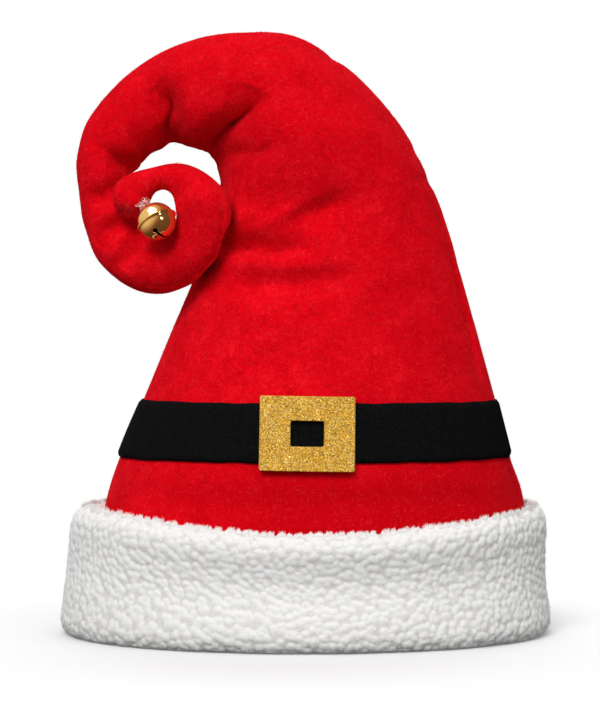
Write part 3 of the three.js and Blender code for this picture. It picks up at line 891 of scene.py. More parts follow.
def laid_grid(
    name: str, points: np.ndarray, marks: dict[str, np.ndarray] | None = None
) -> bpy.types.Object:
    """Lays a grid on a table of points, and welds the edges and corners that meet.

    Args:
        name: Name of the piece.
        points: Rows and columns of points in millimetres.
        marks: Numbers to keep on the mesh, one for each point.

    Returns:
        The piece, smooth shaded, with its faces turned outwards.
    """
    rows, columns = points.shape[0] - 1, points.shape[1] - 1
    maker = bmesh.new()
    bmesh.ops.create_grid(maker, x_segments=rows, y_segments=columns, size=1.0)
    mesh = bpy.data.meshes.new(name)
    maker.to_mesh(mesh)
    maker.free()
    spot = read(mesh.vertices, "co", len(mesh.vertices) * 3).reshape(-1, 3)
    share = (spot - spot.min(0)) / np.maximum(np.ptp(spot, axis=0), 1e-9)
    row = np.rint(share[:, 0] * rows).astype(int)
    column = np.rint(share[:, 1] * columns).astype(int)
    mesh.vertices.foreach_set("co", (points[row, column] * MM).ravel())
    for mark, numbers in (marks or {}).items():
        marked(mesh, mark, numbers[row, column])
    maker = bmesh.new()
    maker.from_mesh(mesh)
    bmesh.ops.remove_doubles(maker, verts=maker.verts, dist=1e-7)
    bmesh.ops.recalc_face_normals(maker, faces=maker.faces)
    return finished(name, maker, mesh)


def finished(
    name: str, maker: bmesh.types.BMesh, mesh: bpy.types.Mesh | None = None
) -> bpy.types.Object:
    """Makes a smooth-shaded piece of a bmesh.

    Args:
        name: Name of the piece.
        maker: The bmesh, which is freed.
        mesh: The mesh to write, or a new one.

    Returns:
        The piece, in the scene.
    """
    mesh = mesh or bpy.data.meshes.new(name)
    maker.to_mesh(mesh)
    maker.free()
    mesh.shade_smooth()
    return placed(name, mesh)


def dressed(piece: bpy.types.Object, finish: Finish, slot: str, *replaced: str) -> bpy.types.Object:
    """Gives a piece its finish and its place in the frame.

    Args:
        piece: The piece.
        finish: Its finish.
        slot: Material slot of the record; not used.
        *replaced: CAD nodes that the piece stands for.

    Returns:
        The piece.
    """
    material = bpy.data.materials.get(finish.name) or finish.material()
    piece.data.materials.clear()
    piece.data.materials.append(material)
    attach(piece, "root")
    if replaced:
        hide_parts(*replaced)
    return piece


def spun(
    maker: bmesh.types.BMesh, parts: list[object], centre: Vector, axis: Vector, steps: int
) -> None:
    """Turns points and edges once right round an axis, and joins the ends."""
    bmesh.ops.spin(
        maker, geom=parts, cent=centre, axis=axis, angle=2 * math.pi, steps=steps, use_merge=True
    )


def capped(points: np.ndarray) -> np.ndarray:
    """Closes both ends of a band with a fan to the middle of its section."""
    ends = (points[:, :1], points[:, -1:])
    middles = [np.repeat(end.mean(axis=0, keepdims=True), len(points), axis=0) for end in ends]
    return np.concatenate([middles[0], points, middles[1]], axis=1)


@dataclass(frozen=True)
class Shelter:
    """How closely cloth shuts itself in, felt out with a fan of short rays from each point."""

    reach: float = 11.0
    rays: int = 12
    fan_height: float = 0.85
    lift: float = 0.25
    least: float = 0.12
    span: float = 0.5

    def mark(self, piece: bpy.types.Object) -> None:
        """Keeps the number "shelter", from 0 in the open to 1 deep in folds, on the piece's mesh."""
        mesh = piece.data
        maker = bmesh.new()
        maker.from_mesh(mesh)
        tree = BVHTree.FromBMesh(maker)
        maker.free()
        turns = np.arange(self.rays) * math.pi * (3 - math.sqrt(5))
        high = 1 - (np.arange(self.rays) + 0.5) / self.rays * self.fan_height
        flat = np.sqrt(1 - high**2)
        fan = [Vector(ray) for ray in zip(flat * np.cos(turns), flat * np.sin(turns), high)]
        reach = self.reach * MM
        shelter = []
        for vertex in mesh.vertices:
            turn = vertex.normal.to_track_quat("Z", "X")
            start = vertex.co + vertex.normal * self.lift * MM
            hits = (tree.ray_cast(start, turn @ ray, reach)[3] for ray in fan)
            shelter.append(sum(1 - away / reach for away in hits if away is not None) / self.rays)
        share = np.clip((np.array(shelter) - self.least) / self.span, 0, 1)
        marked(mesh, "shelter", eased(share))


@dataclass(frozen=True)
class Fibres:
    """Fine fibres on a surface, as one joined mesh of thin bent ribbons."""

    count: int
    length: tuple[float, float]
    width: float
    rise: float
    seed: int
    least_rise: float = 0.3
    bend: float = 0.14
    root_lift: float = 0.02
    tip_rise: float = 1.3
    narrowing: tuple[float, float, float] = (1.0, 0.8, 0.25)
    rare_light: float = 1.5

    def build(
        self, name: str, spots: np.ndarray, normals: np.ndarray, lean: np.ndarray | None = None
    ) -> bpy.types.Object:
        """Joins the fibres.

        Args:
            name: Name of the piece.
            spots: Where each fibre starts, in millimetres.
            normals: Which way the surface faces there.
            lean: The way that the pile lies, if it lies one way.

        Returns:
            The piece, with a random "shade" on each fibre.
        """
        chance = np.random.default_rng(self.seed)
        total = len(spots)
        wander = chance.normal(size=(total, 3))
        if lean is not None:
            wander += lean
        along = unit(flattened(wander, normals))
        side = np.cross(normals, along)
        length = chance.uniform(*self.length, size=(total, 1))
        rise = self.rise * chance.uniform(self.least_rise, 1.0, size=(total, 1))
        bend = length * chance.normal(0, self.bend, size=(total, 1))
        middles = [
            spots + normals * self.root_lift,
            spots + along * length * 0.5 + side * bend + normals * rise,
            spots + along * length + normals * rise * self.tip_rise,
        ]
        rows = []
        for middle, share in zip(middles, self.narrowing):
            half = side * self.width * share / 2
            rows += [middle - half, middle + half]
        points = np.stack(rows, axis=1).reshape(-1, 3)
        corners = np.array([[0, 2, 3, 1], [2, 4, 5, 3]])
        faces = (np.arange(total)[:, None, None] * 6 + corners).reshape(-1, 4)
        mesh = bpy.data.meshes.new(name)
        mesh.from_pydata((points * MM).tolist(), [], faces.tolist())
        marked(mesh, "shade", np.repeat(chance.random(total) ** self.rare_light, 6))
        mesh.shade_smooth()
        return placed(name, mesh)


@dataclass
class Crown:
    """Padded plush crown with its hollow for the head, its curl and its fuzz."""

    form: CrownForm
    wall: float = 3.0
    columns: int = 224
    body_rows: int = 172
    curl_rows: int = 206
    body_stations: float = 12.0
    hollow_rows: int = 26
    hollow_straight: float = 8.0
    hollow_end: float = 11.0
    tip_rows: int = 7
    tip_reach: float = 3.2
    fill: float = 0.6
    shelter: Shelter = Shelter()
    pile: Fibres = Fibres(count=44000, length=(1.0, 3.2), width=0.13, rise=0.45, seed=7)
    knob: Fibres = Fibres(count=700, length=(1.2, 3.2), width=0.12, rise=0.9, seed=9)
    knob_station: float = 33.6
    knob_reach: float = 8.5
    scatter: float = 0.9
    lean: float = 1.6
    lean_size: float = 21.0
    lean_seed: int = 80

    def points(self) -> tuple[np.ndarray, np.ndarray]:
        """Lays out the whole surface, from the top of the hollow to the tip.

        Returns:
            Rows and columns of points, and 1 for each point outside, 0 inside.
        """
        form = self.form
        turn = np.linspace(0, 2 * math.pi, self.columns + 1)[None, :]
        inner = np.linspace(self.hollow_end, 0, self.hollow_rows + 1)[:, None]
        wall = (self.wall + self.pressed(turn))[..., None]
        inside = form.smooth(inner, turn) - form.normal(inner, turn) * wall
        inside[..., 2] = np.maximum(inside[..., 2], form.smooth(0.0, 0.0)[2])
        middle = self.middle(inner)
        domed = self.hollow_end - self.hollow_straight
        past = np.maximum(0, (inner - self.hollow_straight) / domed)
        spread = np.sqrt(np.maximum(0, 1 - past**2))[..., None]
        inside = middle + (inside - middle) * spread
        body = np.linspace(0, self.body_stations, self.body_rows + 1)
        curl = np.linspace(self.body_stations, form.last, self.curl_rows + 1)[1:]
        outer = np.concatenate([body, curl])[:, None]
        outside = form.folded(outer, turn)
        ring = outside[-1]
        centre = self.middle(np.array([[float(form.last)]]))[0]
        ahead = unit(centre - self.middle(np.array([[form.last - 0.5]]))[0])
        angle = np.linspace(0, math.pi / 2, self.tip_rows + 1)[1:, None, None]
        tip = centre + (ring - centre) * np.cos(angle) + ahead * self.tip_reach * np.sin(angle)
        rows = np.concatenate([inside, outside, tip])
        shown = np.concatenate([np.zeros(len(inside)), np.ones(len(outside) + len(tip))])
        return rows, np.repeat(shown[:, None], self.columns + 1, axis=1)

    def pressed(self, turn: np.ndarray) -> np.ndarray:
        """How deep the folds lie by each point of the hollow, so that none breaks through it."""
        fine = 8
        stations = np.linspace(self.hollow_end, 0, fine * self.hollow_rows + 1)[:, None]
        points = self.form.smooth(stations, turn)
        depth = np.maximum(self.form.folds(points) + self.form.creases(points), 0)
        rows = np.arange(0, len(depth), fine)
        return np.stack([depth[max(row - fine, 0) : row + fine + 1].max(axis=0) for row in rows])

    def middle(self, station: np.ndarray) -> np.ndarray:
        """Middles of the sections at some stations."""
        return (self.form.smooth(station, 0.0) + self.form.smooth(station, math.pi)) / 2

    def build(self) -> list[bpy.types.Object]:
        """Builds the crown and its fuzz."""
        rows, shown = self.points()
        crown = laid_grid("crown_plush", rows, {"shown": shown})
        self.shelter.mark(crown)
        dressed(crown, Plush(), "red_plush", "crown")
        tip = self.middle(np.array([[self.knob_station]]))[0, 0]
        return [
            crown,
            self.fuzz("crown_fuzz", crown, self.pile),
            self.fuzz("crown_knob_fuzz", crown, self.knob, tip),
        ]

    def fuzz(
        self, name: str, crown: bpy.types.Object, fibres: Fibres, near: np.ndarray | None = None
    ) -> bpy.types.Object:
        """Scatters loose fibres over the outside of the crown, fewer in its folds.

        Args:
            name: Name of the piece.
            crown: The crown's piece.
            fibres: The fibres.
            near: A place that they keep to, if they do.

        Returns:
            The fibres, as one piece.
        """
        mesh = crown.data
        faces, points = len(mesh.polygons), len(mesh.vertices)
        centre = read(mesh.polygons, "center", faces * 3).reshape(-1, 3) / MM
        normal = read(mesh.polygons, "normal", faces * 3).reshape(-1, 3)
        area = read(mesh.polygons, "area", faces)
        first = read(mesh.polygons, "loop_start", faces, np.int32)
        corner = read(mesh.loops, "vertex_index", len(mesh.loops), np.int32)[first]
        shown = read(mesh.attributes["shown"].data, "value", points, np.float32)
        shelter = read(mesh.attributes["shelter"].data, "value", points, np.float32)
        weight = area * (shown[corner] > 0.5) * (1 - shelter[corner]) ** 2
        if near is not None:
            weight = weight * (np.linalg.norm(centre - near, axis=1) < self.knob_reach)
        chance = np.random.default_rng(fibres.seed + 1)
        chosen = chance.choice(faces, size=fibres.count, p=weight / weight.sum())
        normals = normal[chosen]
        shift = chance.normal(size=normals.shape) * self.scatter
        spots = centre[chosen] + flattened(shift, normals)
        waves = [value_noise(spots, self.lean_size, self.lean_seed + axis) for axis in range(3)]
        lean = self.lean * np.stack(waves, axis=-1)
        return dressed(fibres.build(name, spots, normals, lean), PlushHair(), "red_plush")


@dataclass
class Cuff:
    """Folded sherpa band round the crown's rim, as a front and a back half."""

    form: CrownForm
    height: float = 68.0
    front_dip: float = 9.0
    thickness: float = 16.0
    hem_height: float = 24.0
    hem_thickness: float = 5.0
    crown_wall: float = 3.0
    clearance: float = 0.3
    cloth_gap: float = 0.6
    rim: float = 8.667
    columns: int = 500
    outside_rows: int = 132
    hem_edge: float = 0.92
    tuft_size: float = 4.3
    tuft_widest: float = 1.02
    tuft_squeeze: float = 0.26
    tuft_count: int = 172
    tuft_rise: float = 0.8
    tuft_sink: float = 0.45
    tuft_seed: int = 11
    fine_share: float = 0.12
    fine_seed: int = 29
    lump_rise: float = 0.45
    lump_size: float = 20.0
    drift: float = 0.5
    drift_size: float = 26.0
    jostle: float = 0.12
    jostle_size: float = 9.0
    slant_middle: float = 0.52
    slant_reach: float = 0.27
    fill: float = 0.7
    wisp: Fibres = Fibres(count=7500, length=(0.7, 1.7), width=0.2, rise=0.5, seed=51)
    wisp_floor: float = 2.5
    wisp_scatter: float = 0.25
    lock: Fibres = Fibres(count=7000, length=(0.9, 2.6), width=0.24, rise=0.4, seed=71)
    locks_each: int = 210
    lock_rows: tuple[int, int] = (-9, 6)
    lock_height: tuple[int, int] = (-3, 4)
    lock_width: tuple[int, int] = (-2, 3)
    lock_reach: tuple[float, float] = (0.6, 1.5)
    lock_towards: tuple[float, float, float] = (0.8, 0.0, 2.0)
    lock_gather: float = 2.5

    def section(self, turn: np.ndarray) -> tuple[np.ndarray, np.ndarray]:
        """Lays out the whole section, before tufts: up the outside, down behind, round the hem.

        Args:
            turn: Turns in radians, one for each column.

        Returns:
            Rows and columns of points, and of a share that says how strong the tufts are.
        """
        turn = turn[None, :]
        high = self.height - self.front_dip * np.maximum(0, np.sin(turn)) ** 3
        place = np.linspace(0, len(CUFF_OUTSIDE) - 1, self.outside_rows)[:, None]
        row = spline(np.array(CUFF_OUTSIDE), place)
        right = np.maximum(0, np.cos(turn)) ** 2
        share = row[..., 1] - row[..., 2] * right - row[..., 3] * np.sin(turn) ** 2
        outside = self.form.level(row[..., 0] * high, turn, share * self.thickness)
        floor = self.rim - self.clearance
        hem_out = -self.crown_wall - self.cloth_gap
        hem_in = hem_out - self.hem_thickness
        ones = np.ones_like(turn)
        stops = [
            # height, lift out of the crown's cloth, steps on the way there, strength of the tufts
            (0.93 * high, self.cloth_gap, 1, 0.0),
            (0.50 * high, self.cloth_gap, 3, 0.0),
            (floor * ones, self.cloth_gap, 3, 0.0),
            (floor * ones, hem_out, 2, 0.0),
            (self.hem_edge * self.hem_height * ones, hem_out, 3, 0.0),
            (self.hem_height * ones, (hem_out + hem_in) / 2, 3, 0.0),
            (self.hem_edge * self.hem_height * ones, hem_in, 3, 0.0),
            (0 * ones, hem_in, 12, 0.5),
            (0 * ones, CUFF_OUTSIDE[0][1] * self.thickness, 12, 0.5),
        ]
        heights, lifts = [], []
        strength = [1.0] * len(outside)
        before_height = row[-1:, ..., 0] * high
        before_lift = share[-1:] * self.thickness
        for stop_height, stop_lift, steps, tufted in stops:
            strength += [tufted] * steps
            for step in range(1, steps + 1):
                part = step / steps
                heights.append(before_height + (stop_height - before_height) * part)
                lifts.append(before_lift + (stop_lift - before_lift) * part)
            before_height, before_lift = stop_height, stop_lift * ones
        height = np.concatenate([np.broadcast_to(h, ones.shape) for h in heights])
        lift = np.concatenate([np.broadcast_to(v, ones.shape) for v in lifts])
        inside = self.form.level(height, turn, lift)
        points = np.concatenate([outside, inside])
        strength[-1] = 1.0
        return points, np.repeat(np.array(strength)[:, None], turn.shape[1], axis=1)

    def spread(
        self, points: np.ndarray, turn: np.ndarray
    ) -> tuple[np.ndarray, np.ndarray, np.ndarray]:
        """Lays the fleece out flat.

        Args:
            points: Rows and columns of points.
            turn: Turns in radians, one for each column.

        Returns:
            Places round the cuff from 0 to 1, places up the section in tufts, and their slant.
        """
        full = np.linspace(0, 2 * math.pi, 721)
        ring = self.form.level(0.5 * self.height, full, self.thickness)
        length = np.concatenate([[0.0], np.cumsum(np.linalg.norm(np.diff(ring, axis=0), axis=1))])
        around = np.interp(turn, full, length / length[-1])[None, :]
        rise = np.linalg.norm(np.diff(points, axis=0), axis=2).mean(axis=1)
        height = points[..., 2].mean(axis=1) / self.height
        middle = np.clip(1 - ((height - self.slant_middle) / self.slant_reach) ** 2, 0, 1)
        middle[self.outside_rows :] = 0
        size = self.tuft_size * (self.tuft_widest - self.tuft_squeeze * middle)
        up = np.concatenate([[0.0], np.cumsum(rise / size[1:])])[:, None]
        return around, up, middle[:, None]

    def tufts(self, points: np.ndarray, turn: np.ndarray) -> np.ndarray:
        """Height of the fleece's tufts, from 0 between them to about 1 on top."""
        around, up, slant = self.spread(points, turn)
        wave = value_noise(points, self.drift_size, 40)
        sway = value_noise(points, self.drift_size, 41)
        near = self.jostle * value_noise(points, self.jostle_size, 42)
        across = around * self.tuft_count + self.drift * wave + near
        coarse = TuftField(self.tuft_count, self.tuft_seed)
        small = TuftField(self.tuft_count * 2, self.fine_seed)
        tuft = coarse.height(across, up + self.drift * sway + near, slant)
        fine = small.height(across * 2, up * 2 + 0.6 * wave, slant)
        tuft = tuft * (1 - self.fine_share) + fine * self.fine_share
        tuft[-1] = tuft[0]
        return tuft

    def build(self) -> list[bpy.types.Object]:
        """Builds both halves."""
        halves = []
        for side in Side:
            start, end = side.value
            turn = np.linspace(start, end, self.columns + 1)
            points, strength = self.section(turn)
            along = np.gradient(points, axis=0)
            around = np.gradient(points, axis=1)
            outward = self.outwards(points, unit(np.cross(along, around)))
            tuft = self.tufts(points, turn)
            lumps = self.lump_rise * value_noise(points, self.lump_size, 71)
            height = (tuft * self.tuft_rise - self.tuft_sink + lumps) * strength
            moved = points + outward * height[..., None]
            moved[..., 2] = np.maximum(moved[..., 2], 0)
            name = "cuff_sherpa_" + side.name.lower()
            half = laid_grid(name, capped(moved), {"tuft": self.capped_marks(tuft)})
            nodes = ["cuff"] if side is Side.FRONT else []
            dressed(half, Sherpa(), "white_sherpa", *nodes)
            halves.append(half)
            halves.append(self.wisps(side, moved, outward, strength))
            halves.append(self.locks(side, moved, outward))
        return halves

    def wisps(
        self, side: Side, points: np.ndarray, outward: np.ndarray, strength: np.ndarray
    ) -> bpy.types.Object:
        """Lays short wisps on the fleece.

        Args:
            side: Which half.
            points: The half's points.
            outward: Which way each of them faces.
            strength: How tufted each of them is.

        Returns:
            The wisps, as one piece.
        """
        fibres = replace(self.wisp, seed=self.wisp.seed + len(side.name))
        chance = np.random.default_rng(fibres.seed)
        weight = (strength > 0.9) * (points[..., 2] > self.wisp_floor) * 1.0
        weight = (weight / weight.sum()).ravel()
        chosen = chance.choice(weight.size, size=fibres.count, p=weight)
        shift = chance.normal(0, self.wisp_scatter, size=(fibres.count, 3))
        spots = points.reshape(-1, 3)[chosen] + shift
        name = "cuff_wisps_" + side.name.lower()
        piece = fibres.build(name, spots, outward.reshape(-1, 3)[chosen])
        return dressed(piece, Wisp(), "white_sherpa")

    def locks(self, side: Side, points: np.ndarray, outward: np.ndarray) -> bpy.types.Object:
        """Stands small pointed locks of fleece along the top edge.

        Args:
            side: Which half.
            points: The half's points.
            outward: Which way each of them faces.

        Returns:
            The locks, as one piece.
        """
        fibres = replace(self.lock, seed=self.lock.seed + len(side.name))
        chance = np.random.default_rng(fibres.seed)
        locks, total = self.locks_each, fibres.count
        last_row, last_column = points.shape[0] - 1, points.shape[1] - 1
        top = int(np.argmax(points[: self.outside_rows, :, 2].mean(axis=1)))
        columns = np.sort(chance.choice(points.shape[1], size=locks, replace=False))
        rows = top + chance.integers(*self.lock_rows, size=locks)
        reach = chance.uniform(*self.lock_reach, size=(locks, 1))
        tips = points[rows, columns] + reach * np.array(self.lock_towards)
        lock = chance.integers(0, locks, size=total)
        row = np.clip(rows[lock] + chance.integers(*self.lock_height, size=total), 0, last_row)
        column = columns[lock] + chance.integers(*self.lock_width, size=total)
        column = np.clip(column, 0, last_column)
        spots = points[row, column]
        gather = (tips[lock] - spots) * self.lock_gather
        facing = outward[row, column] * np.array([1.0, 1.0, 0.0]) + np.array([0, 0, 1e-3])
        name = "cuff_locks_" + side.name.lower()
        piece = fibres.build(name, spots, unit(facing), gather)
        return dressed(piece, Wisp(), "white_sherpa")

    @staticmethod
    def outwards(points: np.ndarray, outward: np.ndarray) -> np.ndarray:
        """Turns the directions so that they point out of the section."""
        middle = points.mean(axis=0, keepdims=True)
        sign = np.sign(np.sum((points - middle) * outward, axis=-1)[:100].mean())
        return outward * sign

    @staticmethod
    def capped_marks(marks: np.ndarray) -> np.ndarray:
        """Carries marks over to the points that capped adds."""
        return np.concatenate([marks[:, :1], marks, marks[:, -1:]], axis=1)


@dataclass
class Belt:
    """Felt strip laid round the body, with cut ends at the right side."""

    form: CrownForm
    width: float = 30.8
    thickness: float = 1.6
    middle: float = 109.9
    start_turn: float = 12.0
    end_turn: float = 357.0
    cloth_gap: float = 0.6
    edge_trim: float = 0.5
    edge_wander: float = 0.35
    edge_wander_size: float = 9.0
    edge_thickness: float = 0.35
    edge_roundness: int = 14
    ripple: float = 0.1
    ripple_size: float = 14.0
    columns: int = 620
    rows: int = 16

    def build(self) -> list[bpy.types.Object]:
        """Builds the belt."""
        turn = np.radians(np.linspace(self.start_turn, self.end_turn, self.columns + 1))[None, :]
        across = np.linspace(-0.5, 0.5, self.rows + 1)[:, None]
        spots = self.form.level(self.middle + across * self.width, turn, np.zeros_like(turn))
        level = spots * np.array([1, 1, 0])
        wander = value_noise(level, self.edge_wander_size, 5) * self.edge_wander
        height = self.middle + across * (self.width - self.edge_trim) + wander * np.sign(across)
        ripple = self.ripple * value_noise(spots, self.ripple_size, 6)
        rounded = np.sqrt(np.clip(1 - (np.abs(across) * 2) ** self.edge_roundness, 0, 1))
        share = self.edge_thickness + (1 - self.edge_thickness) * rounded
        low = self.cloth_gap * np.ones_like(ripple)
        high = self.cloth_gap + self.thickness * share + ripple
        outside = self.form.level(height, turn, high)
        inside = self.form.level(height, turn, low)[::-1]
        section = np.concatenate([outside, inside, outside[:1]])
        belt = laid_grid("belt_felt", capped(section))
        dressed(belt, Felt(), "black_felt", "belt")
        return [belt]


@dataclass
class Buckle:
    """Flat glitter frame laid on the belt."""

    form: CrownForm
    width: float = 49.0
    height: float = 38.0
    thickness: float = 2.0
    corner: float = 1.2
    window_width: float = 17.0
    window_height: float = 13.0
    window_corner: float = 1.0
    offset: float = 0.8
    tilt: float = 0.8
    middle: float = 109.9
    lift: float = 2.5
    flakes: int = 13500
    flake_size: tuple[float, float] = (0.18, 0.38)
    flake_lift: float = 0.22
    flake_tilt: float = 0.3
    flake_margin: float = 0.35
    flake_sides: int = 6
    flake_seed: int = 31

    def outline(self, width: float, height: float, corner: float) -> np.ndarray:
        """Points round a rectangle with rounded corners.

        Args:
            width: Across.
            height: Up.
            corner: Radius of the corners.

        Returns:
            The points, across and up, in order. Every outline has as many.
        """
        points = []
        for quarter in range(4):
            angles = math.pi / 2 * (quarter + np.linspace(0, 1, 9))
            signs = np.sign([math.cos(angles[4]), math.sin(angles[4])])
            centre = signs * (np.array([width, height]) / 2 - corner)
            arc = centre + corner * np.stack([np.cos(angles), np.sin(angles)], axis=1)
            turned = math.pi / 2 * (quarter + 1)
            after = np.sign([math.cos(turned + 0.5), math.sin(turned + 0.5)])
            meet = after * (np.array([width, height]) / 2 - corner)
            meet = meet + corner * np.array([math.cos(turned), math.sin(turned)])
            share = np.linspace(0, 1, 42)[1:-1, None]
            points += [arc, arc[-1] + (meet - arc[-1]) * share]
        return np.concatenate(points)

    def on_belt(self, flat: np.ndarray, lift: np.ndarray | float) -> np.ndarray:
        """Bends flat places to the belt.

        Args:
            flat: Across and up from the middle of the buckle.
            lift: How far out of the crown's cloth.

        Returns:
            Points in millimetres.
        """
        angle = math.radians(self.tilt)
        across = flat[..., 0] * math.cos(angle) + flat[..., 1] * math.sin(angle) + self.offset
        up = flat[..., 1] * math.cos(angle) - flat[..., 0] * math.sin(angle) + self.middle
        station = self.form.station_at(up)
        right = self.form.smooth(station, 0.0)[..., 0]
        left = self.form.smooth(station, math.pi)[..., 0]
        turn = np.arccos(np.clip((2 * across - right - left) / (right - left), -1, 1))
        points = self.form.level(up, turn, 0.0 * up)
        outward = self.form.normal(station, turn)
        points[..., 1] -= lift / np.maximum(0.5, -outward[..., 1])
        return points

    def build(self) -> list[bpy.types.Object]:
        """Builds the plate and its glitter."""
        outer = self.outline(self.width, self.height, self.corner)
        window = self.outline(self.window_width, self.window_height, self.window_corner)
        # How far in from the edge to the window, and how far below the face
        edge = [(0.0, 0.35), (0.012, 0.1), (0.03, 0.0)]
        face = [(share, 0.0) for share in np.linspace(0.1, 0.9, 9)]
        sill = [(0.95, 0.0), (0.975, 0.1), (1.0, 0.35)]
        rows = [self.on_belt(outer, self.lift)]
        top = self.lift + self.thickness
        for share, drop in edge + face + sill:
            rows.append(self.on_belt(outer + (window - outer) * share, top - drop))
        for share in (1.0, 0.5, 0.0):
            rows.append(self.on_belt(outer + (window - outer) * share, self.lift))
        table = np.stack(rows)
        table = np.concatenate([table, table[:, :1]], axis=1)
        plate = laid_grid("buckle_plate", table)
        dressed(plate, GlitterBacking(), "gold_glitter", "buckle")
        return [plate, self.glitter()]

    def glitter(self) -> bpy.types.Object:
        """Scatters small tilted flakes over the face and the edges of the plate."""
        chance = np.random.default_rng(self.flake_seed)
        margin, sides = self.flake_margin, self.flake_sides
        frame = np.array([self.width, self.height]) - 2 * margin
        flat = chance.uniform(-0.5, 0.5, size=(self.flakes * 2, 2)) * frame
        window = np.array([self.window_width, self.window_height]) / 2 + margin
        past = np.maximum(np.abs(flat) - (frame / 2 - self.corner), 0)
        kept = np.any(np.abs(flat) > window, axis=1) & (np.linalg.norm(past, axis=1) < self.corner)
        flat = flat[kept][: self.flakes]
        total = len(flat)
        lift = self.lift + self.thickness + chance.uniform(0.0, self.flake_lift, total)
        middle = self.on_belt(flat, lift)
        size = chance.uniform(*self.flake_size, size=(total, 1))
        tilt = chance.normal(0, self.flake_tilt, size=(total, 3))
        facing = unit(np.array([0.0, -1.0, 0.0]) + tilt)
        across = unit(np.cross(facing, chance.normal(size=(total, 3))))
        up = np.cross(facing, across)
        angle = np.arange(sides)[None, :, None] * 2 * math.pi / sides
        ring = across[:, None] * np.cos(angle) + up[:, None] * np.sin(angle)
        corners = middle[:, None] + size[:, None] * ring
        faces = np.arange(total * sides).reshape(-1, sides)
        mesh = bpy.data.meshes.new("buckle_glitter")
        mesh.from_pydata((corners.reshape(-1, 3) * MM).tolist(), [], faces.tolist())
        marked(mesh, "tone", np.repeat(chance.random(total), sides))
        return dressed(placed("buckle_glitter", mesh), Glitter(), "gold_glitter")


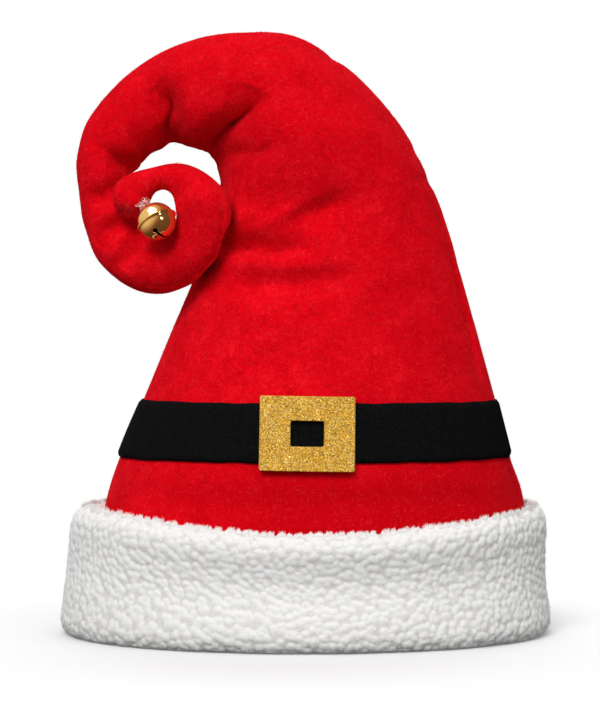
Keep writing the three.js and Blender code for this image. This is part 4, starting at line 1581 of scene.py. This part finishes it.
@dataclass
class Bell:
    """Jingle bell of two pressed cups, with a wire loop, and the thread that ties it to the tip."""

    form: CrownForm
    radius: float = 10.0
    wall: float = 0.8
    bead: float = 1.0
    bead_reach: float = 0.62
    outside_steps: int = 48
    inside_steps: int = 32
    round_steps: int = 96
    slot_width: float = 1.4
    slot_hole: float = 2.8
    slot_reach: float = 44.0
    slot_towards: tuple[float, float, float] = (0.05, -0.83, -0.57)
    up: tuple[float, float, float] = (-0.43, 0.37, 0.82)
    loop_radius: float = 2.2
    wire: float = 1.3
    pellet_drop: float = 5.55
    tie_station: float = 33.3
    tie_turn: float = 132.0
    tie_lift: float = 0.3
    knot_shift: tuple[float, float, float] = (-2.0, -0.6, -1.4)
    knot_scatter: float = 0.6
    thread_radius: float = 0.2
    thread_loops: int = 16
    thread_seed: int = 12
    thread_wander: float = 0.25
    tight_width: tuple[float, float] = (0.6, 1.8)
    loose_width: tuple[float, float] = (1.2, 3.4)
    loop_stretch: tuple[float, float] = (0.7, 1.1)

    @property
    def loop_height(self) -> float:
        """How far over the bell's middle the middle of its loop is."""
        return self.radius - self.wall / 2 + self.loop_radius

    def frame(self) -> Matrix:
        """Where the bell hangs: its middle, and its own up and loop directions."""
        low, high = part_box("bell_pellet")
        centre = (low + high) / 2 + Vector((0, 0, self.pellet_drop * MM))
        up = Vector(self.up).normalized()
        station, turn = np.array(self.tie_station), np.array(math.radians(self.tie_turn))
        normal = Vector(self.form.normal(station, turn))
        axis = up.cross(normal).normalized()
        across = up.cross(axis)
        basis = Matrix((axis, across, up)).transposed().to_4x4()
        return Matrix.Translation(centre) @ basis

    def shell(self) -> bpy.types.Object:
        """Spins the two cups with the bead between them."""
        maker = bmesh.new()
        profile = []
        for index in range(self.outside_steps + 1):
            angle = math.pi * (index / self.outside_steps - 0.5)
            height = self.radius * math.sin(angle)
            swell = self.bead * math.exp(-((height / (self.bead_reach * self.bead)) ** 4))
            profile.append((self.radius * math.cos(angle) + swell, height))
        inner = self.radius - self.wall
        for index in range(self.inside_steps + 1):
            angle = math.pi * (0.5 - index / self.inside_steps)
            profile.append((inner * math.cos(angle), inner * math.sin(angle)))
        verts = [maker.verts.new((x * MM, 0, z * MM)) for x, z in profile]
        edges = [maker.edges.new(pair) for pair in zip(verts, verts[1:])]
        spun(maker, verts + edges, Vector((0, 0, 0)), Vector((0, 0, 1)), self.round_steps)
        bmesh.ops.remove_doubles(maker, verts=maker.verts, dist=1e-6)
        bmesh.ops.recalc_face_normals(maker, faces=maker.faces)
        return finished("bell_shell", maker)

    def cutter(self) -> bpy.types.Object:
        """The slot across the bottom, with a round hole at each end."""
        maker = bmesh.new()
        reach = math.radians(self.slot_reach)
        length = 2 * self.radius * math.sin(reach)
        top = self.wall - self.radius * math.cos(reach)
        towards = self.frame().to_3x3().inverted() @ Vector(self.slot_towards)
        turned = Matrix.Rotation(math.atan2(towards.y, towards.x), 4, "Z")
        size = Matrix.Diagonal((length * MM, self.slot_width * MM, 2 * self.radius * MM, 1))
        below = Matrix.Translation((0, 0, (top - self.radius) * MM))
        bmesh.ops.create_cube(maker, size=1, matrix=turned @ below @ size)
        hole = self.slot_hole / 2 * MM
        bottom = Matrix.Translation((0, 0, -self.radius * MM))
        for side in (-1, 1):
            tilt = Matrix.Rotation(side * -reach, 4, "Y")
            bmesh.ops.create_cone(
                maker,
                cap_ends=True,
                segments=32,
                radius1=hole,
                radius2=hole,
                depth=self.radius * MM,
                matrix=turned @ tilt @ bottom,
            )
        return finished("bell_cutter", maker)

    def loop(self, maker: bmesh.types.BMesh) -> None:
        """Adds the wire loop on top of the bell."""
        before = set(maker.faces)
        circle = bmesh.ops.create_circle(maker, segments=14, radius=self.wire / 2 * MM)
        ring = circle["verts"]
        middle = Vector((0, 0, self.loop_height * MM))
        upright = Matrix.Rotation(math.pi / 2, 3, "X")
        bmesh.ops.rotate(maker, verts=ring, cent=(0, 0, 0), matrix=upright)
        bmesh.ops.translate(maker, verts=ring, vec=middle + Vector((self.loop_radius * MM, 0, 0)))
        edges = list({edge for vert in ring for edge in vert.link_edges})
        spun(maker, ring + edges, middle, Vector((0, 1, 0)), 40)
        wire = [face for face in maker.faces if face not in before]
        bmesh.ops.recalc_face_normals(maker, faces=wire)
        corners = list({vert for face in wire for vert in face.verts})
        across = Matrix.Rotation(math.pi / 2, 3, "Z")
        bmesh.ops.rotate(maker, verts=corners, cent=(0, 0, 0), matrix=across)

    def build(self) -> list[bpy.types.Object]:
        """Builds the bell with its loop, and its thread."""
        shell, cutter = self.shell(), self.cutter()
        cut = shell.modifiers.new("slot", "BOOLEAN")
        cut.operation, cut.solver, cut.object, cut.use_self = "DIFFERENCE", "EXACT", cutter, True
        bpy.context.view_layer.update()
        graph = bpy.context.evaluated_depsgraph_get()
        mesh = bpy.data.meshes.new_from_object(shell.evaluated_get(graph))
        bpy.data.objects.remove(cutter)
        bpy.data.objects.remove(shell)
        maker = bmesh.new()
        maker.from_mesh(mesh)
        self.loop(maker)
        frame = self.frame()
        bmesh.ops.transform(maker, matrix=frame, verts=maker.verts)
        bell = finished("bell_polished", maker)
        dressed(bell, PolishedGold(centre=tuple(frame.translation)), "gold_metal", "bell")
        return [bell, self.thread()]

    def thread(self) -> bpy.types.Object:
        """Loops of clear thread from the tip through the bell's loop, with a bunched knot."""
        chance = np.random.default_rng(self.thread_seed)
        frame = self.frame()
        eye = np.array(frame @ Vector((0, 0, self.loop_height * MM))) / MM
        axis = np.array(frame.to_3x3() @ Vector((1, 0, 0)))
        station, turn = np.array(self.tie_station), np.array(math.radians(self.tie_turn))
        foot = self.form.creased(station, turn, self.tie_lift)
        up = unit(foot - eye)
        middle = (foot + eye) / 2 + self.form.normal(station, turn)
        knot = middle + np.array(self.knot_shift)
        half = np.linalg.norm(foot - eye) / 2
        curve = bpy.data.curves.new("bell_tie_thread", "CURVE")
        curve.dimensions = "3D"
        curve.bevel_depth = self.thread_radius * MM
        curve.bevel_resolution = 2
        curve.resolution_u = 6
        turns = np.linspace(0, 2 * math.pi, 11)[:-1, None]
        for index in range(self.thread_loops):
            angle = chance.uniform(0, 2 * math.pi)
            loose = index % 2
            wide = chance.uniform(*(self.loose_width if loose else self.tight_width))
            side = axis * math.cos(angle) + np.cross(up, axis) * math.sin(angle)
            centre = (knot if loose else middle) + chance.normal(0, self.knot_scatter, 3)
            reach = half * chance.uniform(*self.loop_stretch)
            points = centre + up * reach * np.cos(turns) + side * wide * np.sin(turns)
            points += chance.normal(0, self.thread_wander, size=points.shape)
            strand = curve.splines.new("NURBS")
            strand.points.add(len(points) - 1)
            strand.use_cyclic_u = True
            strand.order_u = 4
            for point, place in zip(strand.points, points):
                point.co = (*(place * MM), 1.0)
        holder = placed("bell_tie_curve", curve)
        bpy.context.view_layer.update()
        mesh = bpy.data.meshes.new_from_object(holder)
        mesh.name = "bell_tie_thread"
        bpy.data.objects.remove(holder)
        mesh.shade_smooth()
        return dressed(placed("bell_tie_thread", mesh), Nylon(), "clear_thread", "bell_tie")


@dataclass(frozen=True)
class Sun:
    """Distant soft light that polished metal doesn't mirror, shining from one side."""

    name: str
    side: tuple[float, float, float]
    strength: float
    angle: float

    def build(self) -> None:
        """Adds the light."""
        light = bpy.data.lights.new(self.name, "SUN")
        light.energy = self.strength
        light.angle = math.radians(self.angle)
        holder = placed(self.name, light)
        holder.rotation_euler = (-Vector(self.side)).to_track_quat("-Z", "Y").to_euler()
        holder.visible_glossy = False


@dataclass(frozen=True)
class Softbox:
    """Panel that only polished metal and thread mirror, in metres and watts."""

    name: str
    place: tuple[float, float, float]
    size: tuple[float, float]
    power: float
    towards: tuple[float, float, float] = (-0.08, -0.04, 0.22)

    def build(self) -> None:
        """Adds the panel."""
        light = bpy.data.lights.new(self.name, "AREA")
        light.shape = "RECTANGLE"
        light.size, light.size_y = self.size
        light.energy = self.power
        holder = placed(self.name, light)
        holder.location = self.place
        facing = Vector(self.towards) - holder.location
        holder.rotation_euler = facing.to_track_quat("-Z", "Y").to_euler()
        holder.visible_diffuse = False


@dataclass(frozen=True)
class Studio:
    """Camera, lights and a plain pale floor."""

    eye: tuple[float, float, float] = (-0.0029, -1.39, 0.178)
    pitch: float = -1.19
    lens: float = 131.83
    sensor: float = 36.0
    view_end: float = 50.0
    lights: tuple[Sun | Softbox, ...] = (
        Sun("key", (-0.3, -0.98, 0.85), 2.3, 28),
        Sun("side", (0.9, -0.7, 0.5), 0.42, 50),
        Sun("back", (0.1, 1.0, 0.75), 0.9, 60),
        Softbox("softbox", (-0.36, -0.26, 1.02), (0.7, 0.42), 11.0),
        Softbox("strip", (0.42, -0.75, 0.50), (0.16, 0.12), 1.0),
    )
    floor_size: float = 15.0
    floor_near: float = 0.115
    floor_far: float = 0.23
    floor_tone: Colour = (0.80, 0.80, 0.80, 1.0)
    floor_glow: Colour = (0.01, 0.01, 0.01, 1.0)
    light_above: float = 0.60
    light_below: float = 0.18
    light_rise: tuple[float, float] = (-0.6, 0.8)
    mirrored_side: tuple[float, float, float] = (-0.75, -0.2, 0.5)
    mirrored_width: tuple[float, float] = (-0.05, 0.8)
    mirrored_light: tuple[float, float] = (0.10, 0.80)
    mirrored_shade: Colour = (1.0, 0.30, 0.07, 1.0)

    def build(self) -> None:
        """Sets up all of it."""
        camera = bpy.data.cameras.new("camera")
        camera.lens = self.lens
        camera.sensor_width = self.sensor
        camera.sensor_fit = "AUTO"
        camera.clip_end = self.view_end
        holder = placed("camera", camera)
        holder.location = self.eye
        holder.rotation_euler = (math.radians(90 + self.pitch), 0, 0)
        bpy.context.scene.camera = holder
        self.floor()
        self.world()
        for light in self.lights:
            light.build()
        bpy.context.scene.view_settings.view_transform = "Standard"

    def floor(self) -> None:
        """Adds a white floor that keeps the hat's soft shadow."""
        maker = bmesh.new()
        bmesh.ops.create_grid(maker, x_segments=2, y_segments=2, size=self.floor_size)
        floor = finished("floor", maker)
        graph = Graph.of("studio_floor")
        measure = {"operation": "LENGTH"}
        away = graph.add("ShaderNodeVectorMath", measure, {0: graph.place()}, "Value")
        far = away.between(self.floor_near, self.floor_far)
        material = graph.shade(
            Base_Color=graph.mix(far, self.floor_tone, BLACK),
            Roughness=1.0,
            Specular_IOR_Level=0.0,
            Emission_Color=graph.mix(far, self.floor_glow, WHITE),
            Emission_Strength=1.0,
        )
        floor.data.materials.append(material)
        floor.visible_diffuse = False
        floor.visible_glossy = False

    def world(self) -> None:
        """Gives the room a white backdrop and a soft light that is stronger from above.

        Polished metal and thread mirror another light, which is bright on one side and warm
        elsewhere.
        """
        world = bpy.data.worlds.new("studio")
        bpy.context.scene.world = world
        graph = Graph(world)
        ray = graph.add("ShaderNodeTexCoord", output="Generated")
        mirrored = graph.add("ShaderNodeLightPath", output="Is Glossy Ray")
        shown = graph.add("ShaderNodeLightPath", output="Is Camera Ray")
        height = graph.add("ShaderNodeSeparateXYZ", None, {0: ray}, "Z")
        rise = (*self.light_rise, self.light_below, self.light_above)
        level = graph.add("ShaderNodeMapRange", None, dict(enumerate((height, *rise))))
        side = Vector(self.mirrored_side).normalized()
        against = {"operation": "DOT_PRODUCT"}
        facing = graph.add("ShaderNodeVectorMath", against, {0: ray, 1: side}, "Value")
        width = (*self.mirrored_width, *self.mirrored_light)
        smooth = {"interpolation_type": "SMOOTHSTEP"}
        lobe = graph.add("ShaderNodeMapRange", smooth, dict(enumerate((facing, *width))))
        strength = graph.add("ShaderNodeMix", None, {0: mirrored, 2: level, 3: lobe})
        most = {"operation": "MAXIMUM", "use_clamp": True}
        pale = graph.add("ShaderNodeMath", most, {0: 1 - mirrored, 1: lobe})
        tint = graph.mix(pale, self.mirrored_shade, WHITE)
        light = graph.add("ShaderNodeBackground", None, {"Color": tint, "Strength": strength})
        seen = graph.add("ShaderNodeBackground", None, {"Color": WHITE})
        both = graph.add("ShaderNodeMixShader", None, {0: shown, 1: light, 2: seen})
        graph.close(both, "ShaderNodeOutputWorld")


def main() -> None:
    """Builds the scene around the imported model."""
    logging.basicConfig(level=logging.INFO, format="%(name)s: %(message)s")
    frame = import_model()
    form = CrownForm()
    Studio().build()
    pieces: list[bpy.types.Object] = []
    for assembly in (Crown(form), Cuff(form), Belt(form), Buckle(form), Bell(form)):
        pieces += assembly.build()
    pellet = frame["nodes"]["bell_pellet"]
    pellet.data.materials.clear()
    pellet.data.materials.append(bpy.data.materials["polished_gold"])
    triangles = 0
    for piece in pieces:
        piece.data.calc_loop_triangles()
        triangles += len(piece.data.loop_triangles)
        LOG.info("%s: %d triangles", piece.name, len(piece.data.loop_triangles))
    LOG.info("%d triangles in all", triangles)


if __name__ == "__main__":
    main()
